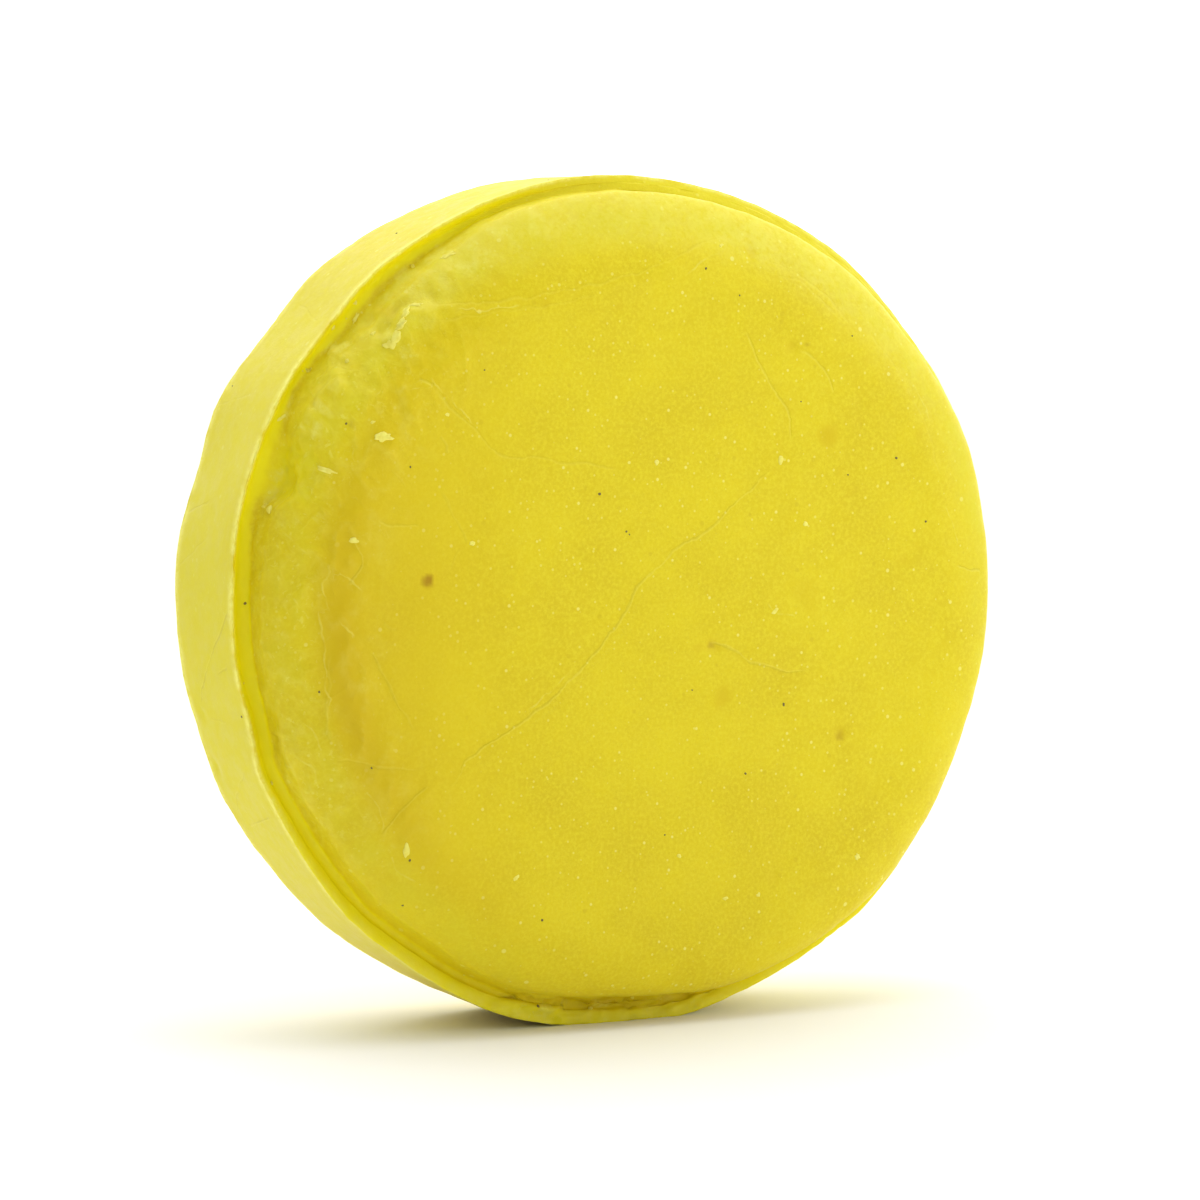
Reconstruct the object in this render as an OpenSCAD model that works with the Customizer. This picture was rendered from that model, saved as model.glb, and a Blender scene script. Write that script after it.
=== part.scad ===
// Shaving soap puck: one pressed disc of soap, standing on its edge.
// The disc's axis runs along Y. The front face looks along -Y, the back face
// along +Y, and +Z is up. The origin is the middle of the worn flat that the
// edge stands on. Both sides come from the same press die: a raised face with
// a rounded shoulder, a narrow groove round its foot, and a thin lip where the
// die halves squeezed the soap out at the rim of the belt.

/* [Disc] */
// Outside diameter of the belt
puck_d = 60; // [54:0.5:70]
// Width of the belt along the axis, from lip crest to lip crest
belt_w = 10.2; // [8:0.1:14]
// Depth of the worn flat under the belt, where the disc stands
foot_cut = 0.25; // [0.15:0.05:0.6]

/* [Raised face] */
// Height of the raised face above the lip crest
crown_h = 3.9; // [2.5:0.1:5]
// Radial width of the rounded shoulder, from the flat face to the flank
shoulder_w = 4.9; // [3:0.1:8]
// Height of the straight flank below the shoulder, above the lip crest
flank_h = 1.4; // [0.5:0.1:2]
// How squarely the shoulder turns: 2 is an ellipse, more is squarer, less is flatter
shoulder_pow = 1.8; // [1.6:0.05:3]

/* [Lip and groove] */
// Radial width of the lip at the rim
lip_w = 0.7; // [0.4:0.05:1.2]
// Height of the lip crest above the groove's edges
lip_h = 0.4; // [0.15:0.05:0.8]
// Radial width of the groove between the lip and the raised face
groove_w = 1.0; // [0.6:0.05:2]
// Depth of the groove below its edges
groove_d = 0.3; // [0.15:0.05:1]

/* [Hidden] */

puck_r = puck_d / 2;
// centre height of the disc above its foot
axis_z = puck_r - foot_cut;
// axial station of the groove's edges, of the lip crest and of the flat face
rim_s = belt_w / 2 - lip_h;
crest_s = belt_w / 2;
face_s = crest_s + crown_h;
// radii of the raised face and of the lip's inner edge
crown_r = puck_r - lip_w - groove_w;
flat_r = crown_r - shoulder_w;
lip_in_r = puck_r - lip_w;

soap_yellow = [0.90, 0.80, 0.13];
shoulder_steps = 14;
groove_steps = 8;
lip_steps = 8;
rim_fn = 240;

// sign-keeping power, for the superellipse of the shoulder
function spow(v, e) = (v < 0 ? -1 : 1) * pow(abs(v), e);

// points [radius, axial station] of a superelliptic arc about c, with
// semi-axes a (radial) and b (axial), from angle t0 to t1 in n steps
function arc(c, a, b, t0, t1, n, p = 2) = [
    for (i = [0 : n])
        let (t = t0 + (t1 - t0) * i / n)
            [c[0] + a * spow(cos(t), 2 / p), c[1] + b * spow(sin(t), 2 / p)]
];

// half outline of one side, from the flat face's edge out to the lip crest
// and down to the rim
side_outline = concat(
    arc([flat_r, crest_s + flank_h], shoulder_w, crown_h - flank_h,
        90, 0, shoulder_steps, shoulder_pow),
    arc([crown_r + groove_w / 2, rim_s], groove_w / 2, groove_d,
        180, 360, groove_steps),
    arc([lip_in_r + lip_w / 2, rim_s], lip_w / 2, lip_h,
        157.5, 0, lip_steps)
);

// the same points in the other order, on the other side
function flipped(pts) = [for (i = [len(pts) - 1 : -1 : 0]) [pts[i][0], -pts[i][1]]];

// whole outline from the axis on one face round to the axis on the other
outline = concat(
    [[0, face_s]], side_outline, flipped(side_outline), [[0, -face_s]]
);

// the pressed disc, with the worn flat cut from the bottom of its belt
module soap_puck() {
    color(soap_yellow)
    difference() {
        translate([0, 0, axis_z])
            rotate([90, 0, 0])
                rotate_extrude($fn = rim_fn)
                    polygon(outline);
        translate([-puck_r, -face_s - 1, -puck_r])
            cube([2 * puck_r, 2 * face_s + 2, puck_r]);
    }
}

soap_puck();
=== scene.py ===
"""Looks of the shaving soap puck: one pressed disc of yellow soap standing on its edge."""

import math

import bpy
import numpy as np
from mathutils import Matrix, Vector


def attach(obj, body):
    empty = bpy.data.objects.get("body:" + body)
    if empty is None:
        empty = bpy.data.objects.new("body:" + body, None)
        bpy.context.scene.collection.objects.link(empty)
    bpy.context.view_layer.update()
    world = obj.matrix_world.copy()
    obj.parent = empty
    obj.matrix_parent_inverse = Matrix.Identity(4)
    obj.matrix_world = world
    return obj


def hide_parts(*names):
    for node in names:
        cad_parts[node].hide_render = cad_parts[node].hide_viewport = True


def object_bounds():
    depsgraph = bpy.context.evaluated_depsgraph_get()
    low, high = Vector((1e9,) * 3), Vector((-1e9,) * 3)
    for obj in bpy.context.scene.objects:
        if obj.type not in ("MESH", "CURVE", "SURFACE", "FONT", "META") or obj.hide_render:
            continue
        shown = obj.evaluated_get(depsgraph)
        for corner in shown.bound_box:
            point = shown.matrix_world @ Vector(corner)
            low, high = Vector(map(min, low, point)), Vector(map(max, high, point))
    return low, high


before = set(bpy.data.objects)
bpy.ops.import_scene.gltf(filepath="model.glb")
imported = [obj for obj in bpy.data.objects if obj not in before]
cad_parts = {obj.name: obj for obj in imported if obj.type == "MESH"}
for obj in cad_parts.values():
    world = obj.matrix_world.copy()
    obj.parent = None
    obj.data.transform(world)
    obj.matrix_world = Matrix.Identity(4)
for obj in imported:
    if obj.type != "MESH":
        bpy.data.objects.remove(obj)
CAD_LO, CAD_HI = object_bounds()

MM = 0.001
# sizes of the CAD disc, in millimetres, from its box
PUCK_R = (CAD_HI.x - CAD_LO.x) / 2 / MM
AXIS_Z = CAD_HI.z / MM - PUCK_R
FACE_S = (CAD_HI.y - CAD_LO.y) / 2 / MM
CREST_S = FACE_S - 3.9

# ---------------------------------------------------------------- camera

YAW, ELEV, DIST = math.radians(27.8), math.radians(3.7), 300.0
FOCAL_PX = 4262.0


def make_camera():
    lip = Vector((0, -CREST_S, AXIS_Z))
    back = Vector(
        (
            -math.sin(YAW) * math.cos(ELEV),
            -math.cos(YAW) * math.cos(ELEV),
            math.sin(ELEV),
        )
    )
    right = (-back).cross(Vector((0, 0, 1))).normalized()
    up = right.cross(-back)
    ahead = (-back - right * (26.2 / FOCAL_PX) + up * (1.2 / FOCAL_PX)).normalized()
    data = bpy.data.cameras.new("camera")
    data.sensor_width = 36.0
    data.lens = FOCAL_PX / 1200 * 36.0
    data.clip_start = 0.01
    data.clip_end = 20.0
    cam = bpy.data.objects.new("camera", data)
    bpy.context.scene.collection.objects.link(cam)
    cam.location = (lip + back * DIST) * MM
    cam.rotation_euler = ahead.to_track_quat("-Z", "Y").to_euler()
    bpy.context.scene.camera = cam
    return cam


make_camera()

# ---------------------------------------------------------------- noise


def perlin(p, seed):
    """Gradient noise, about -1 to 1, at points p (n, 3)."""
    rng = np.random.RandomState(seed)
    perm = rng.permutation(256)
    grad = rng.normal(size=(256, 3))
    grad /= np.linalg.norm(grad, axis=1, keepdims=True)
    cell = np.floor(p).astype(np.int64)
    f = p - cell
    u = f * f * f * (f * (f * 6 - 15) + 10)
    out = np.zeros(len(p))
    for dx in (0, 1):
        for dy in (0, 1):
            for dz in (0, 1):
                h = perm[(cell[:, 0] + dx) & 255]
                h = perm[(h + cell[:, 1] + dy) & 255]
                h = perm[(h + cell[:, 2] + dz) & 255]
                w = (
                    (u[:, 0] if dx else 1 - u[:, 0])
                    * (u[:, 1] if dy else 1 - u[:, 1])
                    * (u[:, 2] if dz else 1 - u[:, 2])
                )
                out += w * (grad[h] * (f - (dx, dy, dz))).sum(1)
    return out * 1.7


def fbm(p, size, seed, octaves=3, gain=0.5):
    """Sum of octaves of noise, the largest of the given size in millimetres."""
    out = np.zeros(len(p))
    amp, scale = 1.0, 1.0 / size
    for k in range(octaves):
        out += amp * perlin(p * scale + 17.3 * k, seed + k)
        amp *= gain
        scale *= 2.03
    return out


def cells(p, size, seed):
    """Cell noise: distance to the nearest and second nearest point, in cells, and a random number for the nearest cell."""
    rng = np.random.RandomState(seed)
    perm = rng.permutation(256)
    offs = rng.rand(256, 3)
    rnd = rng.rand(256)
    q = p / size
    base = np.floor(q).astype(np.int64)
    f1 = np.full(len(p), 9.0)
    f2 = np.full(len(p), 9.0)
    who = np.zeros(len(p))
    for dx in (-1, 0, 1):
        for dy in (-1, 0, 1):
            for dz in (-1, 0, 1):
                c = base + (dx, dy, dz)
                h = perm[c[:, 0] & 255]
                h = perm[(h + c[:, 1]) & 255]
                h = perm[(h + c[:, 2]) & 255]
                d = np.linalg.norm(c + offs[h] - q, axis=1)
                near = d < f1
                f2 = np.where(near, f1, np.minimum(f2, d))
                who = np.where(near, rnd[h], who)
                f1 = np.where(near, d, f1)
    return f1, f2, who


def ease(x, a, b):
    """0 at a, 1 at b, smooth between."""
    t = np.clip((x - a) / (b - a), 0, 1)
    return t * t * (3 - 2 * t)


def around(theta, table):
    """Smooth closed curve through (angle in degrees, value) pairs."""
    pts = sorted(table)
    a = np.array([t for t, _ in pts], float)
    v = np.array([x for _, x in pts], float)
    a = np.concatenate([[a[-1] - 360], a, [a[0] + 360]])
    v = np.concatenate([[v[-1]], v, [v[0]]])
    slope = np.gradient(v, a)
    slope[0], slope[-1] = slope[-2], slope[1]
    th = np.mod(theta, 360.0)
    k = np.clip(np.searchsorted(a, th, side="right") - 1, 0, len(a) - 2)
    w = a[k + 1] - a[k]
    t = (th - a[k]) / w
    h00 = 2 * t**3 - 3 * t**2 + 1
    h10 = t**3 - 2 * t**2 + t
    h01 = -2 * t**3 + 3 * t**2
    h11 = t**3 - t**2
    return h00 * v[k] + h10 * w * slope[k] + h01 * v[k + 1] + h11 * w * slope[k + 1]


def near_angle(theta, centre, width):
    """1 at an angle, falling off smoothly over width degrees."""
    d = (theta - centre + 180) % 360 - 180
    return np.exp(-((d / width) ** 2))


def spow(v, e):
    return np.sign(v) * np.abs(v) ** e


# ---------------------------------------------------------------- form of the disc
# Angles go round the axis: 0 at +X, 90 at the top, 180 at -X, 270 at the foot.
# r is the distance from the axis and s the distance towards the front face,
# from the middle of the belt, both in millimetres.

FRONT = dict(
    # how far the rim stands out or in
    rim=[
        (0, -0.05), (10, 0.10), (28, 0.22), (40, -0.10), (50, 0.03), (65, -0.10),
        (80, -0.18), (95, -0.08), (108, -0.05), (120, -0.08), (131, 0.10),
        (138, -0.08), (148, 0.16), (160, 0.15), (168, 0.18), (176, -0.02),
        (188, -0.10), (195, -0.28), (201, 0.02), (208, -0.12), (217, -0.05),
        (226, 0.08), (234, -0.08), (244, 0.10), (252, 0.25), (262, 0.12),
        (272, 0.15), (280, 0.05), (290, -0.15), (300, -0.08), (315, 0.18),
        (322, 0.03), (330, -0.18), (343, -0.22), (352, -0.08),
    ],
    # from the rim in to the foot of the raised face
    gap=[
        (0, 1.30), (20, 1.30), (45, 1.25), (70, 1.15), (90, 1.10), (101, 1.05),
        (110, 1.05), (118, 1.25), (126, 1.50), (134, 1.55), (141, 1.40),
        (146, 1.15), (151, 1.25), (155, 1.65), (161, 1.85), (166, 1.65),
        (173, 1.50), (182, 1.55), (190, 1.60), (197, 1.50), (205, 1.50),
        (218, 1.60), (230, 1.55), (242, 1.55), (255, 1.70), (265, 1.90),
        (270, 1.95), (276, 1.80), (283, 1.30), (296, 1.15), (315, 1.20),
        (340, 1.25),
    ],
    lip_w=[
        (0, 0.45), (45, 0.45), (90, 0.55), (125, 0.50), (150, 0.45), (165, 0.42),
        (182, 0.42), (200, 0.60), (215, 0.78), (230, 0.90), (250, 1.00),
        (268, 1.15), (284, 0.95), (300, 0.70), (330, 0.50),
    ],
    lip_h=[
        (0, 0.05), (30, 0.02), (60, 0.02), (90, 0.03), (106, 0.16), (120, 0.36),
        (140, 0.42), (160, 0.45), (180, 0.44), (200, 0.38), (225, 0.30), (250, 0.27),
        (270, 0.25), (300, 0.22), (335, 0.12),
    ],
    groove_d=[
        (0, 0.03), (30, 0.01), (60, 0.01), (90, 0.02), (106, 0.12), (120, 0.24),
        (140, 0.28), (160, 0.28), (180, 0.28), (215, 0.22), (245, 0.18), (270, 0.18),
        (290, 0.16), (330, 0.08),
    ],
    # how far the rim is rounded back where the lip has been smoothed down
    drop=[
        (0, 0.55), (30, 0.80), (60, 0.80), (88, 0.55), (104, 0.15), (118, 0.0),
        (170, 0.0), (240, 0.0), (300, 0.02), (335, 0.20),
    ],
    dome=[(0, 0.0006), (90, 0.0), (180, 0.0009), (270, 0.0)],
    flat_r=[
        (0, 23.6), (30, 23.2), (60, 22.6), (90, 22.2), (120, 22.4), (150, 22.8),
        (178, 23.0), (210, 23.2), (250, 23.6), (290, 23.7), (330, 23.6),
    ],
    # how squarely the shoulder turns, and the height of the flank below it
    square=[
        (0, 2.25), (25, 2.10), (48, 1.65), (70, 1.50), (95, 1.48), (120, 1.50),
        (150, 1.45), (180, 1.45), (210, 1.55), (240, 1.70), (270, 1.85), (300, 2.10),
        (330, 2.30),
    ],
    flank=[
        (0, 1.75), (40, 1.45), (70, 1.15), (100, 0.95), (135, 0.90), (180, 0.90),
        (215, 1.00), (250, 1.15), (285, 1.40), (330, 1.75),
    ],
    # how much the flank leans inwards towards its top
    lean=[
        (0, 0.10), (95, 0.10), (110, 0.20), (120, 0.40), (135, 0.50), (146, 0.35),
        (156, 0.35), (166, 0.35), (178, 0.20), (195, 0.25), (215, 0.35), (235, 0.45),
        (255, 0.40), (272, 0.30), (290, 0.15),
    ],
    crest=[
        (0, 0.0), (60, 0.05), (110, -0.05), (150, 0.06), (185, 0.04), (215, -0.06),
        (245, 0.05), (270, 0.0), (310, -0.05),
    ],
)

BACK = dict(
    rim=[
        (0, -0.06), (15, 0.12), (35, -0.08), (60, 0.10), (80, -0.05), (98, 0.0),
        (115, -0.04), (131, 0.15), (141, -0.12), (153, 0.24), (161, -0.14),
        (172, 0.13), (182, 0.0), (190, -0.12), (198, -0.30), (206, -0.20),
        (218, -0.36), (230, -0.27), (240, -0.28), (248, -0.12), (258, 0.05),
        (275, 0.08), (290, -0.06), (305, 0.10), (325, -0.12), (342, 0.08),
    ],
    gap=[
        (0, 1.80), (30, 1.95), (60, 1.90), (90, 1.75), (120, 1.60), (150, 1.50),
        (180, 1.45), (210, 1.50), (240, 1.70), (270, 1.95), (300, 2.05), (330, 1.85),
    ],
    lip_w=[(0, 0.55), (60, 0.70), (120, 0.55), (180, 0.60), (240, 0.80), (300, 0.75)],
    lip_h=[(0, 0.38), (70, 0.30), (140, 0.40), (210, 0.34), (280, 0.28)],
    groove_d=[(0, 0.50), (80, 0.60), (160, 0.45), (240, 0.50), (300, 0.40)],
    flat_r=[(0, 23.4), (60, 23.6), (120, 23.2), (180, 23.5), (240, 23.3), (300, 23.6)],
    lean=[(0, 0.3), (45, 0.6), (90, 0.25), (180, 0.2), (270, 0.35)],
    square=[(0, 1.6), (80, 1.8), (160, 2.0), (240, 1.7), (310, 1.55)],
    drop=[(0, 0.0), (180, 0.0)],
    dome=[(0, 0.0), (180, 0.0)],
    flank=[(0, 1.0), (80, 1.2), (160, 1.4), (240, 1.1)],
    crest=[(0, -0.2), (70, -0.26), (140, -0.18), (200, -0.27), (260, -0.2), (320, -0.15)],
)

SHOULDER_POW = 1.8
RIM_FALL = 0.15  # how far the rim lies below the lip's crest, as a share of its height
N = 600  # columns round the front, a multiple of 8
INNER_R = 20.6  # where the rings begin

_t = np.linspace(0, 90, 721)
_c, _s = np.cos(np.radians(_t)), np.sin(np.radians(_t))
_ax = 4.9 * spow(_c, 2 / SHOULDER_POW)
_ay = 2.5 * spow(_s, 2 / SHOULDER_POW)
_arc = np.concatenate([[0], np.cumsum(np.hypot(np.diff(_ax), np.diff(_ay)))])


def shoulder_angles(n):
    """n steps of the shoulder's angle from 90 to 0, evenly spaced along it."""
    want = np.linspace(_arc[-1], 0, n + 1)
    return np.interp(want, _arc, _t)


def rim_of(theta, form):
    """Radius of the rim, and how far it is rounded back from the lip's crest."""
    drop = np.maximum(around(theta, form["drop"]), 0)
    wider = 0.36 * drop * np.maximum(np.cos(np.radians(theta)), 0)
    return PUCK_R + around(theta, form["rim"]) + wider, drop


def face_height(r, theta, form):
    """The pressed face is very slightly pillowed from left to right."""
    return FACE_S - np.maximum(around(theta, form["dome"]), 0) * (r * np.cos(np.radians(theta))) ** 2


def side_rows(theta, form, n_face, n_shoulder, n_flank, n_groove, n_lip):
    """Rows from INNER_R out to the rim, as (r, s, part) with s for a front side.

    part runs 0 to 1 over the face ring, 1 to 2 over the shoulder, 2 to 3 down
    the flank, 3 to 4 over the groove and 4 to 5 over the lip."""
    rim, drop = rim_of(theta, form)
    foot = rim - around(theta, form["gap"])
    lip_w = around(theta, form["lip_w"])
    lip_h = around(theta, form["lip_h"])
    deep = around(theta, form["groove_d"])
    flat = around(theta, form["flat_r"])
    crest = CREST_S + around(theta, form["crest"])
    edge = crest - lip_h
    groove_w = rim - lip_w - foot
    upper = foot - around(theta, form["lean"])
    rows = []
    for i in range(1, n_face + 1):
        u = i / n_face
        r = INNER_R + (flat - INNER_R) * u
        rows.append((r, face_height(r, theta, form), u))
    brow = face_height(flat, theta, form)

    def fall(r):
        return drop * np.clip((r - foot) / (rim - foot), 0, 1) ** 1.25

    top = CREST_S + around(theta, form["flank"])
    power = 2 / around(theta, form["square"])
    for k, t in enumerate(shoulder_angles(n_shoulder)[1:]):
        c, s = math.cos(math.radians(t)), math.sin(math.radians(t))
        rows.append(
            (
                flat + (upper - flat) * abs(c) ** power,
                top + (brow - top) * abs(s) ** power,
                1 + (k + 1) / n_shoulder,
            )
        )
    for i in range(1, n_flank + 1):
        u = i / n_flank
        rows.append((upper + (foot - upper) * u**1.4, top + (edge - top) * u, 2 + u))
    for i in range(1, n_groove + 1):
        u = i / n_groove
        a = math.pi * (1 + u)
        r = foot + groove_w / 2 * (1 + math.cos(a))
        rows.append((r, edge + deep * math.sin(a) - fall(r), 3 + u))
    for i in range(1, n_lip + 1):
        u = i / n_lip
        t = (1 - math.cos(math.pi * u)) / 2
        # the lip climbs out of the groove to a sharp crest, close to the rim
        if t < 0.92:
            rise = math.sin(math.pi / 2 * t / 0.92) ** 1.15
        else:
            rise = 1 - RIM_FALL * ((t - 0.92) / 0.08) ** 2
        r = rim - lip_w * (1 - t)
        rows.append((r, edge + lip_h * rise - fall(r), 4 + u))
    return rows


def columns(n):
    """Angles of n columns, closer together on the left, which the open groove faces."""
    base = -45.0 + 360.0 * np.arange(n) / n
    return squeeze(base)


def squeeze(base):
    return base + math.degrees(0.32) * np.sin(np.radians(base - 168.0)) * -1.0


def disc_points(n):
    """Square grid of n by n cells mapped onto the unit disc, with ring order for its edge."""
    g = np.linspace(-1, 1, n + 1)
    b, a = np.meshgrid(g, g)  # a down the first axis
    rad = np.maximum(np.abs(a), np.abs(b))
    ang = np.zeros_like(a)
    wide = np.abs(a) >= np.abs(b)
    safe_a = np.where(a == 0, 1, a)
    safe_b = np.where(b == 0, 1, b)
    ang = np.where(wide, 45.0 * b / safe_a, 90.0 - 45.0 * a / safe_b)
    ang = np.where(wide & (a < 0), ang + 180.0, ang)
    ang = np.where(~wide & (b < 0), ang + 180.0, ang)
    ang = np.where(rad == 0, 0, ang)
    # edge in the order of columns(): from -45 degrees round
    ring = (
        [(n, j) for j in range(n)]
        + [(i, n) for i in range(n, 0, -1)]
        + [(0, j) for j in range(n, 0, -1)]
        + [(i, 0) for i in range(n)]
    )
    return rad, ang, ring


def build_base():
    """Undisplaced surface: angle, r, s, part and faces. part is negative at the back."""
    theta = columns(N)
    half = theta[::2]
    th, rr, ss, part, faces = [], [], [], [], []
    count = 0

    def add(t, r, s, p):
        nonlocal count
        t, r, s, p = (np.broadcast_to(x, t.shape).ravel() for x in (t, r, s, p))
        th.append(t)
        rr.append(r)
        ss.append(s)
        part.append(p)
        first = count
        count += len(t)
        return first + np.arange(len(t))

    def strip(a, b, flip):
        n = len(a)
        for j in range(n):
            k = (j + 1) % n
            q = (a[j], a[k], b[k], b[j])
            faces.append(q[::-1] if flip else q)

    # front disc: the grid's edge is the first ring
    n = N // 4
    rad, ang, ring = disc_points(n)
    bend = squeeze(ang) - ang
    disc_th, disc_r = (ang + bend * rad**2).ravel(), (rad * INNER_R).ravel()
    ids = add(
        disc_th, disc_r, face_height(disc_r, disc_th, FRONT), np.float64(0.0)
    ).reshape(n + 1, n + 1)
    for i in range(n):
        for j in range(n):
            faces.append((ids[i, j], ids[i, j + 1], ids[i + 1, j + 1], ids[i + 1, j]))
    last = np.array([ids[i, j] for i, j in ring])
    front_disc_faces = len(faces)
    for r, s, p in side_rows(theta, FRONT, 8, 24, 9, 9, 10):
        row = add(theta, r, s, np.float64(p))
        strip(last, row, False)
        last = row
    # belt, front rim to back rim
    f_rim, f_drop = rim_of(theta, FRONT)
    b_rim, b_drop = rim_of(theta, BACK)
    f_s = CREST_S + around(theta, FRONT["crest"]) - RIM_FALL * around(theta, FRONT["lip_h"]) - f_drop
    b_s = -(CREST_S + around(theta, BACK["crest"]) - RIM_FALL * around(theta, BACK["lip_h"]) - b_drop)
    # rows close together at both rims, so that the edge shades crisply
    tight = [0.004, 0.010, 0.020, 0.036, 0.060, 0.092, 0.130]
    for u in tight + list(np.linspace(0.17, 0.83, 17)) + [1 - x for x in tight[::-1]]:
        s = f_s + (b_s - f_s) * u
        r = f_rim + (b_rim - f_rim) * u
        row = add(theta, r, s, np.float64(5 + u))
        strip(last, row, False)
        last = row
    # the back has half as many columns
    back = side_rows(half, BACK, 5, 15, 5, 6, 7)[::-1]
    first = True
    for r, s, p in back:
        row = add(half, r, -s, np.float64(-p))
        if first:
            m = len(row)
            for j in range(m):
                k = (j + 1) % m
                a0, a1, a2 = last[2 * j], last[2 * j + 1], last[(2 * j + 2) % N]
                faces.append((a0, a1, row[j]))
                faces.append((a1, row[k], row[j]))
                faces.append((a1, a2, row[k]))
            first = False
        else:
            strip(last, row, False)
        last = row
    n = N // 8
    rad, ang, ring = disc_points(n)
    bend = squeeze(ang) - ang
    ring_ids = {}
    ring = list(ring)
    # the outermost ring of the back disc joins the last row, so it is added in full
    ids = add(
        (ang + bend * rad**2).ravel(), (rad * INNER_R).ravel(), np.float64(-FACE_S), np.float64(-0.0001)
    ).reshape(n + 1, n + 1)
    edge = np.array([ids[i, j] for i, j in ring])
    strip(last, edge, False)
    for i in range(n):
        for j in range(n):
            faces.append((ids[i, j], ids[i + 1, j], ids[i + 1, j + 1], ids[i, j + 1]))
    return (
        np.concatenate(th),
        np.concatenate(rr),
        np.concatenate(ss),
        np.concatenate(part),
        faces,
    )


TH, RR, SS, PART, FACES = build_base()


def to_xyz(th, r, s):
    a = np.radians(th)
    return np.stack([r * np.cos(a), -s, r * np.sin(a)], 1)


def vertex_normals(p, faces):
    """Area-weighted normals of a mesh of triangles and quads."""
    n = np.zeros_like(p)
    quads = np.array([f for f in faces if len(f) == 4])
    tris = np.array([f for f in faces if len(f) == 3])
    fn = np.cross(p[quads[:, 2]] - p[quads[:, 0]], p[quads[:, 3]] - p[quads[:, 1]])
    for k in range(4):
        np.add.at(n, quads[:, k], fn)
    if len(tris):
        fn = np.cross(p[tris[:, 1]] - p[tris[:, 0]], p[tris[:, 2]] - p[tris[:, 0]])
        for k in range(3):
            np.add.at(n, tris[:, k], fn)
    return n / np.maximum(np.linalg.norm(n, axis=1, keepdims=True), 1e-12)


P = to_xyz(TH, RR, SS)
NRM = vertex_normals(P, FACES)
if (NRM[0] @ np.array([0, -1.0, 0])) < 0:
    FACES = [f[::-1] for f in FACES]
    NRM = -NRM
print("puck mesh:", len(P), "vertices,", sum(len(f) - 2 for f in FACES), "triangles")


def mesh_object(name, points_mm, faces, smooth=True):
    me = bpy.data.meshes.new(name)
    me.from_pydata((points_mm * MM).tolist(), [], [tuple(int(i) for i in f) for f in faces])
    me.validate()
    me.update()
    if smooth:
        me.polygons.foreach_set("use_smooth", np.ones(len(me.polygons), bool))
    o = bpy.data.objects.new(name, me)
    bpy.context.scene.collection.objects.link(o)
    return o



# ---------------------------------------------------------------- lines on the surface
# Creases, folds and cracks, as points (x, z) in millimetres from the disc's
# axis, on the front face.

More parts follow.
